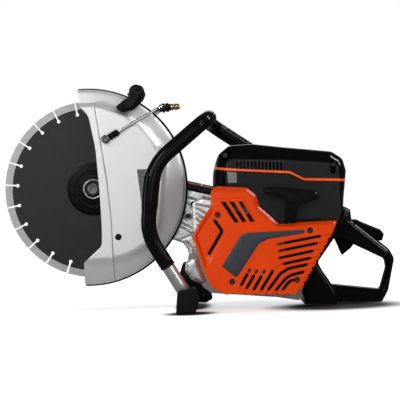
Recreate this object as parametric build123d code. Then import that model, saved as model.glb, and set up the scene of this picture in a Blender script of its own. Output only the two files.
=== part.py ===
"""Concrete cut-off saw with a 350 mm blade: one STEP file for each separate piece.

Frame, in millimetres: +X from the blade to the rear handle, +Y from the starter side to the
belt side, +Z up. The saw stands on Z = 0, with X = 0 and Y = 0 at the middle of its length and width.
Nearly everything is a profile in the XZ plane carried along Y, because the blade, crankshaft,
belt and both handles share that direction.
"""
import math
import os

from build123d import *

# ---------------------------------------------------------------- driving dimensions
BLADE_R = 175.0            # 350 mm blade
SEGMENT_COUNT = 24
SPINDLE = (-203.0, 240.0)  # blade axis, as (x, z)
CRANK = (94.0, 138.0)      # crankshaft axis, as (x, z)
BLADE_Y = 58.0             # middle plane of the blade
WALL = 2.5                 # moulded and pressed shells
GAP = 0.4                  # clearance between pieces that move past each other
TOUCH = 0.03               # clearance between fixed pieces that fit together
RUN = 0.06                 # radial clearance of a running shaft

BORE_R = 28.0              # 56 mm bore by 38 mm stroke, 94 cc
CRANK_THROW = 19.0
PISTON_PIN_Z = 229.0       # at top dead centre
CYLINDER_BASE_Z = 190.0

BELT_Y = (108.0, 122.0)
SPINDLE_PULLEY_R = 34.0
CLUTCH_PULLEY_R = 28.0
GUARD_CENTRE = (-212.0, 244.0)
GUARD_R = 192.0
GUARD_FACE_Y = 34.0
GUARD_PLATEAU_Y = 22.0
GUARD_BACK_Y = 84.0
HUB_R = 35.0               # the guard turns on this hub of the arm

COVER_Y = (-100.0, 78.0)
STARTER_FACE_Y = -118.0
STARTER_BACK_Y = -62.1
STARTER_CHAMFER = 9.0
CRANKCASE_SPLIT_Y = -8.0
CRANKCASE_Y = (-62.0, 80.0)

TUBE_R = 12.5
GRIP_R = 14.2
ROPE_R = 2.0

nodes = {}
trim_pieces = []  # the orange trim of the belt side and of the engine cover is one piece of the record


# ---------------------------------------------------------------- helpers
def point(p, y=0.0):
    """A vector from an (x, z) pair at depth y."""
    return Vector(p[0], y, p[1])


def outline(points):
    """Closed face in the XZ plane from (x, z) or (x, z, corner radius) points."""
    edges = []
    starts, ends = [], []
    count = len(points)
    for i, p in enumerate(points):
        corner = point(p)
        radius = p[2] if len(p) > 2 else 0.0
        if not radius:
            starts.append(corner)
            ends.append(corner)
            continue
        before = (point(points[i - 1]) - corner).normalized()
        after = (point(points[(i + 1) % count]) - corner).normalized()
        half = math.radians(before.get_angle(after)) / 2
        reach = radius / math.tan(half)
        centre = corner + (before + after).normalized() * (radius / math.sin(half))
        start, end = corner + before * reach, corner + after * reach
        middle = centre + (corner - centre).normalized() * radius
        edges.append(ThreePointArc(start, middle, end))
        starts.append(start)
        ends.append(end)
    for i in range(count):
        a, b = ends[i], starts[(i + 1) % count]
        if (a - b).length > 1e-4:
            edges.append(Line(a, b))
    return Face(Wire(edges))


def slab(profile, y0, y1):
    """Solid of a profile (points or a face at Y = 0) from depth y0 to y1."""
    face = outline(profile) if isinstance(profile, list) else profile
    return Pos(0, y0, 0) * extrude(face, y1 - y0, dir=(0, 1, 0))


def grown(profile, amount):
    """Face of a profile grown (or shrunk, when negative) all round, with sharp corners kept."""
    face = outline(profile) if isinstance(profile, list) else profile
    flat = Plane.XZ.to_local_coords(face)
    return Plane.XZ.from_local_coords(offset(flat, amount, kind=Kind.INTERSECTION)).face()


def bevelled(profile, y_wide, y_narrow, slope=45.0):
    """Solid that narrows by a slope in degrees from depth y_wide to depth y_narrow."""
    face = Pos(0, y_wide, 0) * (outline(profile) if isinstance(profile, list) else profile)
    way = 1 if y_narrow > y_wide else -1
    return extrude(face, abs(y_narrow - y_wide), dir=(0, way, 0), taper=slope)


def disc(centre, radius, y0, y1):
    """Cylinder along Y at an (x, z) centre."""
    base = Plane((centre[0], y0, centre[1]), x_dir=(1, 0, 0), z_dir=(0, 1, 0))
    return base * Cylinder(radius, y1 - y0, align=(Align.CENTER, Align.CENTER, Align.MIN))


def ring(centre, outer, inner, y0, y1):
    return disc(centre, outer, y0, y1) - disc(centre, inner, y0 - 1, y1 + 1)


def turned(centre, profile):
    """Solid of revolution about Y at an (x, z) centre, from (radius, y) points."""
    corners = [Vector(centre[0] + r, y, centre[1]) for r, y in profile]
    face = Face(Wire.make_polygon(corners))
    return revolve(face, Axis((centre[0], 0, centre[1]), (0, 1, 0)))


def box(x0, x1, y0, y1, z0, z1):
    return Pos(x0, y0, z0) * Box(x1 - x0, y1 - y0, z1 - z0, align=(Align.MIN,) * 3)


def rod(start, end, radius):
    """Cylinder between two points in space."""
    start, end = Vector(start), Vector(end)
    way = end - start
    return Plane(start, z_dir=way) * Cylinder(
        radius, way.length, align=(Align.CENTER, Align.CENTER, Align.MIN)
    )


def upright(x, y, z, radius, height):
    """Upright cylinder of a height, standing on the point (x, y, z)."""
    return Pos(x, y, z) * Cylinder(radius, height, align=(Align.CENTER, Align.CENTER, Align.MIN))


def pipe(points, radii, radius):
    """Round bar along straight runs joined by arcs."""
    path = FilletPolyline(*points, radius=radii)
    section = Plane(path @ 0, z_dir=path % 0) * Circle(radius)
    return sweep(section, path=path)


def stroke(points, width, y0, y1):
    """Round-ended groove of constant width along (x, z) points."""
    shape = None
    for a, b in zip(points, points[1:]):
        along = (point(b) - point(a)).normalized()
        side = Vector(-along.Z, 0, along.X) * (width / 2)
        corners = [point(a) + side, point(b) + side, point(b) - side, point(a) - side]
        run = slab(Face(Wire.make_polygon(corners)), y0, y1)
        run = run + disc(a, width / 2, y0, y1) + disc(b, width / 2, y0, y1)
        shape = run if shape is None else shape + run
    return shape


def around(centre, radius, angle):
    """(x, z) at an angle in degrees round a centre."""
    turn = math.radians(angle)
    return (centre[0] + radius * math.cos(turn), centre[1] + radius * math.sin(turn))


def turned_copy(shape, centre, angle):
    """Copy of a shape turned about the Y axis through an (x, z) centre."""
    return shape.rotate(Axis((centre[0], 0, centre[1]), (0, 1, 0)), angle)


def belt_face(c1, r1, c2, r2):
    """Face bounded by two circles and their outer tangents."""
    dx, dz = c2[0] - c1[0], c2[1] - c1[1]
    lean = math.degrees(math.atan2(dz, dx))
    open_angle = math.degrees(math.acos((r1 - r2) / math.hypot(dx, dz)))
    a = point(around(c1, r1, lean + open_angle))
    b = point(around(c2, r2, lean + open_angle))
    c = point(around(c2, r2, lean - open_angle))
    d = point(around(c1, r1, lean - open_angle))
    far = point(around(c2, r2, lean))
    near = point(around(c1, r1, lean + 180))
    edges = [Line(a, b), ThreePointArc(b, far, c), Line(c, d), ThreePointArc(d, near, a)]
    return Face(Wire(edges))


def screw(centre, y_seat, way, head_r=4.2, head_h=4.0, shank_r=2.4, shank_l=12.0):
    """Socket screw along Y: its head stands out of y_seat on the side that way (+1 or -1) gives."""
    top = y_seat + way * head_h
    tip = y_seat - way * shank_l
    head = disc(centre, head_r, min(y_seat, top), max(y_seat, top))
    socket = slab(hexagon(centre, head_r * 0.5), min(top, top - way * 2), max(top, top - way * 2))
    shank = disc(centre, shank_r, min(y_seat, tip), max(y_seat, tip))
    return head + shank - socket


def hexagon(centre, across_corners_r):
    """Hexagonal face by its corner radius."""
    return outline([around(centre, across_corners_r, 60 * i) for i in range(6)])


def group(shapes):
    """Several separate solids as one node."""
    return Compound(children=[s for shape in shapes for s in shape.solids()])


def keep(name, shape):
    nodes[name] = shape


# ---------------------------------------------------------------- blade and spindle
CORE_R = 161.0
CORE_Y = (BLADE_Y - 1.1, BLADE_Y + 1.1)
SEGMENT_Y = (BLADE_Y - 1.6, BLADE_Y + 1.6)
FLANGE_R = 52.5
PILOT_R = 12.65
SHAFT_R = 10.0
BOLT_R = 5.0
BEARING_W = 13.0


def blade():
    slot_width, keyhole_r, keyhole_at, first_angle = 3.0, 3.4, 151.0, 10.3
    core = disc(SPINDLE, CORE_R, *CORE_Y) - disc(SPINDLE, PILOT_R + TOUCH, 50, 66)
    rim = ring(SPINDLE, BLADE_R, CORE_R, *SEGMENT_Y)
    cuts = []
    for i in range(SEGMENT_COUNT):
        angle = first_angle + i * 360 / SEGMENT_COUNT
        inner, outer = around(SPINDLE, keyhole_at, angle), around(SPINDLE, 190, angle)
        cuts.append(stroke([inner, outer], slot_width, 50, 66))
        cuts.append(disc(inner, keyhole_r, 50, 66))
    keep("blade_core", core - cuts)
    keep("blade_segments", rim - cuts)


def flanges():
    clamp_y = BLADE_Y - 1.1
    outer = turned(SPINDLE, [
        (BOLT_R + 0.1, 46), (24, 46), (26, 48), (30, 50.5), (46, 51.5), (FLANGE_R - 1, 52.5),
        (FLANGE_R, 53.5), (FLANGE_R, clamp_y), (40, clamp_y), (38, 54.5), (PILOT_R + 0.1, 54.5),
        (PILOT_R + 0.1, 53), (BOLT_R + 0.1, 53),
    ])
    back_y = BLADE_Y + 1.1
    inner = turned(SPINDLE, [
        (PILOT_R + 0.1, back_y + 2), (38, back_y + 2), (40, back_y), (FLANGE_R, back_y),
        (FLANGE_R, 64), (30, 67), (24, 70), (SHAFT_R + TOUCH, 70), (SHAFT_R + TOUCH, 62.2),
        (PILOT_R + 0.1, 62.2),
    ])
    keep("blade_flanges", group([outer, inner]))
    head = slab(hexagon(SPINDLE, 11.5), 36, 43.5)
    socket = slab(hexagon(SPINDLE, 5.5), 35, 40)
    shank = disc(SPINDLE, BOLT_R, 43.5, 82)
    washer = ring(SPINDLE, 21, BOLT_R + 0.1, 43.5, 46)
    keep("blade_bolt_and_washer", group([head - socket + shank, washer]))


def spindle():
    bolt_hole = disc(SPINDLE, BOLT_R + TOUCH, 40, 86)
    shaft = disc(SPINDLE, PILOT_R, 54, 62) + disc(SPINDLE, SHAFT_R, 62, 128.6) - bolt_hole
    keep("spindle_shaft", shaft)
    nut = slab(hexagon(SPINDLE, 15), 122, 128.6) - disc(SPINDLE, SHAFT_R + TOUCH, 120, 131)
    keep("spindle_pulley_and_nut", group([pulley(SPINDLE, SPINDLE_PULLEY_R, SHAFT_R + TOUCH), nut]))
    spans = [(SPINDLE, 21, 73), (SPINDLE, 21, 93), (CRANK, 23, -30), (CRANK, 23, 16)]
    keep("ball_bearings", group([ring(at, r, SHAFT_R + RUN, y, y + BEARING_W) for at, r, y in spans]))


def pulley(centre, radius, bore_r):
    """Flanged pulley with the V grooves of a ribbed belt."""
    rib_count, rib_depth = 5, 2.0
    y0, y1 = BELT_Y
    pitch = (y1 - y0 - 3) / rib_count
    profile = [(bore_r, y0), (radius + 3, y0), (radius + 3, y0 + 1.5)]
    for i in range(rib_count):
        start = y0 + 1.5 + i * pitch
        profile += [(radius, start), (radius - rib_depth, start + pitch / 2)]
    profile += [(radius, y1 - 1.5), (radius + 3, y1 - 1.5), (radius + 3, y1), (bore_r, y1)]
    return turned(centre, profile)


# ---------------------------------------------------------------- arm and belt drive
ARM_FRONT, ARM_FRONT_R = (-203.0, 243.0), 50.0
ARM_REAR, ARM_REAR_R = (94.0, 150.0), 66.0
ARM_FLOOR_Y = (88.0, 94.0)
ARM_RIM_Y = 126.0
ARM_BOLTS = [(60.0, 187.0), (127.0, 182.0), (43.0, 136.0), (145.0, 136.0)]
COVER_SCREWS = [(-242.0, 265.6), (-120.0, 258.0), (10.0, 222.0), (136.0, 192.5), (122.0, 99.0),
                (-10.0, 129.0), (-150.0, 179.0)]


def arm():
    outer = belt_face(ARM_FRONT, ARM_FRONT_R, ARM_REAR, ARM_REAR_R)
    inner = belt_face(ARM_FRONT, ARM_FRONT_R - 5, ARM_REAR, ARM_REAR_R - 5)
    body = slab(outer, ARM_FLOOR_Y[0], ARM_RIM_Y) - slab(inner, ARM_FLOOR_Y[1], ARM_RIM_Y + 1)
    body = body + disc(SPINDLE, HUB_R, 71, ARM_FLOOR_Y[0]) + disc(SPINDLE, 28, ARM_FLOOR_Y[1] - 1, 106)
    body = body - disc(SPINDLE, 21 + TOUCH, 72, 107) - disc(SPINDLE, 15, 60, 107)
    body = body - disc(CRANK, 43, 80, 100)
    # Cast ribs on the outside of the floor stiffen the arm between the hub and the engine.
    lean = math.degrees(math.atan2(ARM_REAR[1] - ARM_FRONT[1], ARM_REAR[0] - ARM_FRONT[0]))
    for shift in (-34, -12, 12, 34):
        start = around((ARM_FRONT[0], ARM_FRONT[1] + shift), 62, lean)
        end = around((ARM_FRONT[0], ARM_FRONT[1] + shift * 1.1), 238, lean)
        body = body + stroke([start, end], 5, 85, ARM_FLOOR_Y[0] + 1)
    bosses = [disc(p, 4.8, ARM_FLOOR_Y[1] - 1, ARM_RIM_Y) for p in COVER_SCREWS]
    holes = [disc(p, 2.4 + TOUCH, 108, ARM_RIM_Y + 1) for p in COVER_SCREWS]
    holes += [disc(p, 4 + TOUCH, 80, 100) for p in ARM_BOLTS]
    body = body + bosses - holes
    body = body - slab(belt_loop(), BELT_Y[0] - 1, BELT_Y[1] + 1)
    keep("cutting_arm", body)


def belt_loop():
    """Outline of the belt with a working clearance round it."""
    return belt_face(SPINDLE, SPINDLE_PULLEY_R + 5.4, CRANK, CLUTCH_PULLEY_R + 5.4)


def belt_and_covers():
    outer = belt_face(SPINDLE, SPINDLE_PULLEY_R + 4.0, CRANK, CLUTCH_PULLEY_R + 4.0)
    inner = belt_face(SPINDLE, SPINDLE_PULLEY_R + GAP, CRANK, CLUTCH_PULLEY_R + GAP)
    y0, y1 = BELT_Y
    keep("drive_belt", slab(outer, y0 + 2, y1 - 2) - slab(inner, y0, y1))
    # The belt guard closes the front of the arm, the clutch cover its engine end.
    split_x = 12.0
    face = belt_face(ARM_FRONT, ARM_FRONT_R, ARM_REAR, ARM_REAR_R)
    lid = slab(face, ARM_RIM_Y, 132) - slab(grown(face, -5), ARM_RIM_Y - 1, 129.5)
    pads = [disc(p, 6, ARM_RIM_Y, 132) for p in COVER_SCREWS]
    holes = [disc(p, 2.4 + TOUCH, 120, 140) for p in COVER_SCREWS]
    skirt = slab(belt_face(ARM_FRONT, ARM_FRONT_R + 4, ARM_REAR, ARM_REAR_R + 4), 104, ARM_RIM_Y + 2)
    around_arm = belt_face(ARM_FRONT, ARM_FRONT_R + 0.1, ARM_REAR, ARM_REAR_R + 0.1)
    skirt = skirt - slab(around_arm, 100, ARM_RIM_Y + 0.01)
    skirt = skirt - slab(grown(face, -5), 100, 140)
    # The skirt covers the top of the arm only; the lower side stays open to drain slurry.
    lean_line = [(-300, 268), (200, 140), (200, 400), (-300, 400)]
    skirt = skirt & slab(lean_line, 0, 200)
    lid = lid + pads + skirt - holes
    trim = slab(belt_face(ARM_FRONT, ARM_FRONT_R + 1.3, ARM_REAR, ARM_REAR_R + 1.3), 99, 103.9)
    trim = trim - slab(around_arm, 90, 110)
    trim_pieces.append(trim & slab([(-230, 275), (60, 200), (60, 400), (-230, 400)], 0, 200))
    front = lid - box(split_x, 300, 100, 150, 0, 400)
    rear = lid - box(-400, split_x + 0.5, 100, 150, 0, 400)
    for i in range(5):
        shift = 16 - i * 8
        groove = stroke([(40, 158 + shift * 2), (140, 142 + shift * 2)], 3.4, 131, 134)
        rear = rear - groove
    for i in range(3):
        z = 252 - i * 16
        front = front - stroke([(-214, z), (-40, z - 46)], 4, 131, 134)
    keep("belt_guard", front)
    keep("clutch_cover", rear)
    screws = [screw(p, 132, 1, shank_l=18) for p in COVER_SCREWS]
    bolts = [screw(p, ARM_FLOOR_Y[1], 1, head_r=6.5, head_h=7, shank_r=4, shank_l=26) for p in ARM_BOLTS]
    tension_at = around(ARM_FRONT, 170, -17)
    tensioner = disc(tension_at, 6, ARM_FLOOR_Y[1], 116) + slab(hexagon(tension_at, 8), 116, 122)
    keep("belt_side_bolts", group(screws + bolts + [tensioner]))


# ---------------------------------------------------------------- engine
CRANKCASE = [
    (-26, 110, 8), (-16, 97, 8), (-28, 84, 5), (-12, 72, 6), (10, 44, 10), (24, 34, 6), (146, 22, 4),
    (190, 14, 6), (194, 34, 8), (196, 150, 12), (170, CYLINDER_BASE_Z, 10), (48, CYLINDER_BASE_Z, 4),
    (44, 116, 6),
]
WEB_R = 30.0
CAST_WALL = 5.0


def crankcase():
    y0, y1 = CRANKCASE_Y
    chamber = disc(CRANK, WEB_R + 1.5, -15, 15)
    throat = upright(CRANK[0], 0, CRANK[1], BORE_R + 0.3, 60)
    bearings = disc(CRANK, 23 + TOUCH, -31, 31)
    bores = disc(CRANK, 14, y0 - 1, y1 + 1)
    left_recess = disc(CRANK, 30, y0 - 1, -40)
    right_recess = disc(CRANK, 43, 68, y1 + 1)
    bolt_holes = [disc(p, 4 + TOUCH, 64, y1 + 1) for p in ARM_BOLTS]
    cavity = [chamber, throat, bearings, bores, left_recess, right_recess] + bolt_holes
    shell = slab(CRANKCASE, y0, y1) - slab(grown(CRANKCASE, -CAST_WALL), y0 + CAST_WALL, y1 - CAST_WALL)
    inside = slab(CRANKCASE, y0 + 1, y1 - 1)
    throat_wall = upright(CRANK[0], 0, CRANK[1], BORE_R + 6, 60)
    bosses = [disc(CRANK, 37, -20, 20), disc(CRANK, 29, y0 + 1, y1 - 1), disc(CRANK, 49, 62, y1 - 1)]
    bosses.append(throat_wall)
    bosses += [disc(p, 9, 54, y1 - 1) for p in ARM_BOLTS]
    bosses += [disc(p, 8, y0 + 1, y0 + 12) for p in STARTER_SCREWS]
    bosses += [rod((180, y, z), (195, y, z), 13) for y, z in MOUNTS_AT]
    ears = [stroke([(39, 182), (60, 176)], 16, y0, y0 + 9), stroke([(208, 147), (180, 147)], 18, y0, y0 + 9)]
    screw_holes = [disc(p, 2.4 + TOUCH, y0 - 1, y0 + 7) for p in STARTER_SCREWS]
    mount_holes = [rod((189, y, z), (200, y, z), 9 + TOUCH) for y, z in MOUNTS_AT]
    arm_flange = disc((94, 150), 60, 70, y1)
    body = shell + [b & inside for b in bosses] + ears + arm_flange
    body = body + [disc(p, 9, 60, y1) for p in ARM_BOLTS]
    # Shallow pockets between cast ribs lighten the front wall.
    pockets = [box(-40, 6, y0 + 8 + i * 26, y0 + 26 + i * 26, 93, 103) for i in range(5)]
    pockets = [p - slab(grown(CRANKCASE, -2.5), y0, y1) for p in pockets]
    body = body - cavity - pockets - screw_holes - mount_holes
    split = CRANKCASE_SPLIT_Y
    left = body & box(-100, 300, y0 - 1, split, 0, 300)
    right = body & box(-100, 300, split, y1 + 1, 0, 300)
    keep("crankcase_left_half", left)
    keep("crankcase_right_half", right)


def crankshaft():
    throw = (CRANK[0], CRANK[1] + CRANK_THROW)
    webs = [disc(CRANK, WEB_R, -14, -6), disc(CRANK, WEB_R, 6, 14)]
    lightening = [disc((throw[0] + s * 19, throw[1] + 2), 5, -20, 20) for s in (-1, 1)]
    shaft = disc(CRANK, SHAFT_R, -102.6, 126)
    cheek_gap = disc(CRANK, WEB_R + 1, -6, 6)
    keep("crankshaft", shaft - cheek_gap + webs - lightening + disc(throw, 9, -6, 6))


def piston():
    ring_z = [PISTON_PIN_Z + 12.0, PISTON_PIN_Z + 16.5]
    crown = Pos(CRANK[0], 0, PISTON_PIN_Z) * (
        Cylinder(BORE_R - RUN, 44) - Pos(0, 0, -6) * Cylinder(BORE_R - 4, 40)
        - Rot(90, 0, 0) * Cylinder(6.5 + TOUCH, 80)
    )
    bosses = Pos(CRANK[0], 0, PISTON_PIN_Z) * Rot(90, 0, 0) * Cylinder(11, 50)
    inside = Pos(CRANK[0], 0, PISTON_PIN_Z) * Cylinder(BORE_R - 3, 30)
    bosses = (bosses & inside) - box(60, 130, -11, 11, 200, 260)
    bosses = bosses - Pos(CRANK[0], 0, PISTON_PIN_Z) * Rot(90, 0, 0) * Cylinder(6.5 + TOUCH, 80)
    grooves = [ring_groove(z) for z in ring_z]
    pin = Pos(CRANK[0], 0, PISTON_PIN_Z) * Rot(90, 0, 0) * Cylinder(6.5, 48)
    keep("piston", group([crown + bosses - grooves, pin] + [piston_ring(z) for z in ring_z]))


def ring_groove(z):
    at = Pos(CRANK[0], 0, z)
    return at * (Cylinder(BORE_R + 1, 1.6) - Cylinder(BORE_R - 2.6, 3))


def piston_ring(z):
    at = Pos(CRANK[0], 0, z)
    return at * (Cylinder(BORE_R - RUN / 2, 1.5) - Cylinder(BORE_R - 2.5, 3))


def cylinder_and_muffler():
    x, top = CRANK[0], 266.0
    barrel = upright(x, 0, CYLINDER_BASE_Z, 36, top - CYLINDER_BASE_Z)
    fins = []
    fin_count, fin_pitch = 10, 7.0
    for i in range(fin_count):
        z = CYLINDER_BASE_Z + 8 + i * fin_pitch
        width = 49 - 1.2 * max(0, i - 6) ** 1.5
        fins.append(Pos(x, 0, z) * fillet(Box(2 * width, 2 * width, 2.2).edges().filter_by(Axis.Z), 16))
    base = Pos(x, 0, CYLINDER_BASE_Z) * Box(76, 76, 6, align=(Align.CENTER, Align.CENTER, Align.MIN))
    exhaust = rod((x - 52, 0, 212), (x - 20, 0, 212), 14)
    inlet = rod((x + 20, 0, 216), (x + 50, 0, 216), 13)
    body = barrel + fins + base + exhaust + inlet
    bore = upright(x, 0, CYLINDER_BASE_Z - 20, BORE_R, 256 - CYLINDER_BASE_Z + 20)
    ports = [rod((x - 60, 0, 212), (x, 0, 212), 9), rod((x, 0, 216), (x + 60, 0, 216), 9)]
    plug_hole = rod((x, 0, 250), (x, 0, 290), 7)
    valve_seat = disc(DECOMPRESSION, 9, 20, 44)
    valve_hole = disc(DECOMPRESSION, 3.5 + RUN, 29, 60)
    keep("cylinder", body + valve_seat - bore - ports - plug_hole - valve_hole)
    plug = rod((x, 0, 253), (x, 0, top + 0.5), 7 - TOUCH) + rod((x, 0, top + 7), (x, 0, 288), 4)
    plug = plug + Pos(x, 0, top + 0.05) * extrude(RegularPolygon(10, 6), 8)
    boot = rod((x, 0, top + 8.2), (x, 0, 298), 9) - rod((x, 0, top + 8), (x, 0, 288.2), 4 + TOUCH)
    lead_path = [(145, -81, 200.8), (141, -81, 216), (134, -72, 240), (118, -42, 288), (103.5, -9, 291)]
    lead = pipe(lead_path, [8, 20, 10], 3)
    keep("spark_plug_and_lead", group([plug, boot, lead]))
    shell = [(-4, 119, 8), (40, 119, 6), (40, 212, 6), (20, 216, 8), (-4, 204, 10)]
    case = slab(shell, -50, 58) - slab(grown(shell, -2), -48, 56)
    case = case - rod((30, 0, 205), (60, 0, 205), 9)
    spigot = ring((12, 150), 11, 8, 58, 70)
    shield = [(-8, 116.4, 10), (40, 116.4, 1), (40, 118.8), (-5.5, 118.8, 7), (-5.5, 204.6, 9),
              (12, 213), (10.5, 215.4), (-8, 206, 10)]
    keep("muffler_and_heat_shield", group([case + spigot, slab(shield, -52, 60)]))


def clutch():
    shoes = []
    for i in range(3):
        shoe = ring(CRANK, 34.5, 17, 88, 101)
        wedge = outline([CRANK] + [around(CRANK, 80, turn + 120 * i) for turn in (-52, 0, 52)])
        shoes.append(shoe & slab(wedge, 86, 103))
    hub = ring(CRANK, 16.5, SHAFT_R + TOUCH, 88, 101)
    nut = slab(hexagon(CRANK, 13), 122.5, 128) - disc(CRANK, SHAFT_R + TOUCH, 120, 130)
    keep("centrifugal_clutch", group(shoes + [hub, nut]))
    drum = turned(CRANK, [
        (SHAFT_R + RUN, 103), (39, 103), (39, 86), (36, 86), (36, 101.5), (SHAFT_R + RUN, 101.5),
    ][::-1])
    sleeve = ring(CRANK, 20, SHAFT_R + RUN, 103, BELT_Y[0])
    keep("clutch_drum_and_pulley", drum + sleeve + pulley(CRANK, CLUTCH_PULLEY_R, SHAFT_R + RUN))


def flywheel():
    rim_r, hub_r = 50.0, 18.0
    disc_y = (-84.0, -80.0)
    body = disc(CRANK, rim_r, *disc_y) + disc(CRANK, hub_r, -96, -70)
    body = body + ring(CRANK, 42, 34, -80, -70)
    blade_count = 16
    blades = []
    for i in range(blade_count):
        fin = box(CRANK[0] + hub_r - 2, CRANK[0] + rim_r, -98, disc_y[0], CRANK[1] - 1, CRANK[1] + 1)
        blades.append(turned_copy(fin, CRANK, i * 360 / blade_count))
    body = body + blades - disc(CRANK, SHAFT_R + TOUCH, -110, -60)
    nut = slab(hexagon(CRANK, 13), -102, -96.02) - disc(CRANK, SHAFT_R + TOUCH, -110, -60)
    keep("flywheel_fan", group([body, nut]))
    coil = box(140, 176, -92, -70, 178, 200) + box(151, 167, -71, CRANKCASE_Y[0], 168, 184)
    keep("ignition_coil", coil - disc(CRANK, rim_r + 4, -110, -60))


def fuel_system():
    manifold = rod((144.2, 0, 216), (157.9, 0, 216), 17) - rod((140, 0, 216), (160, 0, 216), 9.5)
    body = box(158, 192, -20, 20, 198, 234) - rod((150, 0, 216), (200, 0, 216), 10)
    body = body + rod((175, 20, 216), (175, 30, 216), 8) + rod((177, 0, 191), (177, 0, 198), 12)
    body = body - disc((175, 216), 3 + RUN, -18, 31)
    keep("carburettor", body)
    lever = stroke([(175, 216), (188, 226)], 8, 30.5, 33.5) + disc((175, 216), 3, -17, 33.5)
    keep("throttle_lever", lever)
    tray = box(150, 262, -78, 62, 238, 246) - box(154, 258, -74, 58, 242, 250)
    tray = tray - rod((206, 0, 230), (206, 0, 250), 14)
    elbow = rod((192.1, 0, 216), (206, 0, 216), 13) + rod((206, 0, 202), (206, 0, 237.9), 13)
    bend = rod((190, 0, 216), (206, 0, 216), 10) + rod((206, 0, 206), (206, 0, 240), 10)
    keep("air_box", group([manifold, tray, elbow - bend]))
    keep("air_filter", box(156, 256, -72, 56, 246.2, 284) - box(166, 246, -62, 46, 240, 276))


# ---------------------------------------------------------------- engine cover
COVER = [
    (33, 224, 3), (35, 262, 14), (44, 294, 22), (66, 311, 20), (110, 312, 60), (168, 304, 60),
    (256, 293, 14), (277, 279, 18), (283, 256, 16), (274, 184, 10), (262, 160, 6), (100, 160, 3),
]
STRIPE_LINE = [(20, 271.5), (58, 266), (176, 256), (202, 242), (300, 237)]
STRIPE_H = 5.0
CHOKE = (232.0, 226.0)         # knobs on the belt side of the cover, as (x, z)
DECOMPRESSION = (72.0, 262.0)
STARTER = [
    (28, 226, 3), (38, 235, 4), (95, 230, 12), (111, 216, 10), (117, 195, 8), (153, 161, 4),
    (171, 161, 6), (190, 163, 10), (260, 164, 3), (247, 135, 3), (233, 108, 10), (202, 62, 12),
    (182, 30, 6), (156, 26, 8), (50, 33, 6), (22, 50, 10), (8, 84, 12), (-9, 145, 12), (2, 164, 10),
    (27, 198, 8),
]
STARTER_SCREWS = [(39.0, 182.0), (208.0, 147.0), (61.0, 58.0), (181.0, 57.0)]
COVER_SCREW_AT = [(57.0, 292.0), (258.0, 268.0)]


def band(line, low, high):
    """Profile between two copies of a line shifted down and up."""
    return [(x, z + low) for x, z in line] + [(x, z + high) for x, z in reversed(line)]


def engine_cover():
    y0, y1 = COVER_Y
    outer = slab(COVER, y0, y1)
    long_edges = outer.faces().sort_by(Axis.Y)[0].edges() + outer.faces().sort_by(Axis.Y)[-1].edges()
    outer = fillet(long_edges, 12)
    hollow = slab(grown(COVER, -WALL), y0 + WALL, y1 - WALL)
    hollow_edges = hollow.faces().sort_by(Axis.Y)[0].edges() + hollow.faces().sort_by(Axis.Y)[-1].edges()
    hollow = fillet(hollow_edges, 9.5)
    open_foot = slab([(35.6, 100), (35.6, 240), (262, 240), (262, 100)], y0 + WALL, y1 - WALL)
    shell = outer - hollow - open_foot
    # The starter housing fills the lower front of the near wall; the belt side ends higher up.
    shell = shell - slab(grown(STARTER, 1.0), y0 - 1, STARTER_BACK_Y)
    shell = shell - box(0, 262, STARTER_BACK_Y - 1, y1 + 1, 100, 214)
    shell = shell - box(0, 262, y0 - 1, y1 + 1, 100, 160.5)
    vents = []
    vent_count, vent_pitch, vent_width, vent_height = 13, 6.8, 3.8, 14.5
    for i in range(vent_count):
        x, z = 77 + i * vent_pitch, 265.5 - i * 0.3
        right, high = x + vent_width, z + vent_height
        vents.append(slab([(x, z, 1), (right, z, 1), (right, high, 1), (x, high, 1)], y0 - 1, y0 + 6))
    shell = shell - vents
    recesses, wells = [], []
    for x, z in COVER_SCREW_AT:
        pocket = [(x - 6, z - 16, 5), (x + 6, z - 16, 5), (x + 6, z + 22, 5), (x - 6, z + 22, 5)]
        recesses.append(slab(pocket, y0 - 1, y0 + 9))
        wells.append(slab(grown(pocket, 2), y0 + 1, y0 + 11.5) & outer)
    shell = shell + wells - recesses
    shell = shell - [disc(p, 2.4 + TOUCH, y0, y0 + 20) for p in COVER_SCREW_AT]
    shell = shell - disc(CHOKE, 3 + GAP, 60, y1 + 1) - disc(DECOMPRESSION, 3.5 + GAP, 60, y1 + 1)
    above = slab(band(STRIPE_LINE, STRIPE_H / 2 + TOUCH, 200), y0 - 5, y1 + 5)
    below = slab(band(STRIPE_LINE, -200, -STRIPE_H / 2 - TOUCH), y0 - 5, y1 + 5)
    stripe = slab(band(STRIPE_LINE, -STRIPE_H / 2, STRIPE_H / 2), y0 - 5, y1 + 5)
    keep("engine_cover_upper", shell & above)
    keep("engine_cover_lower", shell & below)
    trim_pieces.append(shell & stripe)
    keep("orange_trim_strips", group(trim_pieces))


# ---------------------------------------------------------------- recoil starter
ROPE_GUIDE = (171.5, 160.0)
ROPE_Y = -107.8
SPOOL_R = 24.0
# Cooling slots: a slanting run, a bend and a run down to the left, nested one inside the other.
SLANT_RUNS = [
    ((148, 124), (226, 137)), ((149, 111), (219, 123)), ((150, 98), (211, 109)), ((160, 87), (206, 96)),
]
DOWN_RUNS = [((93, 77), (78, 53)), ((105, 75), (87, 47)), ((119, 75), (98, 43)), ((134, 77), (113, 43))]
SLOPE_RUNS = [((52, 203), (74, 168)), ((67, 203), (88, 168)), ((82, 203), (103, 168))]
ELBOW_RUN = [(33, 172), (46, 152), (46, 146), (20, 113)]
NESTED = [[(198, 85), (163, 78), (151, 70), (127, 41)], [(190, 73), (170, 68), (161, 61), (140, 40)],
          [(176, 58.5), (171, 57), (163, 51), (155, 39)]]
BADGE = [
    (43, 87), (67, 66), (72, 68, 3), (113, 126, 14), (130, 134, 14), (196, 142), (198, 149), (92, 147, 14),
    (80, 143, 8),
]


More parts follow.
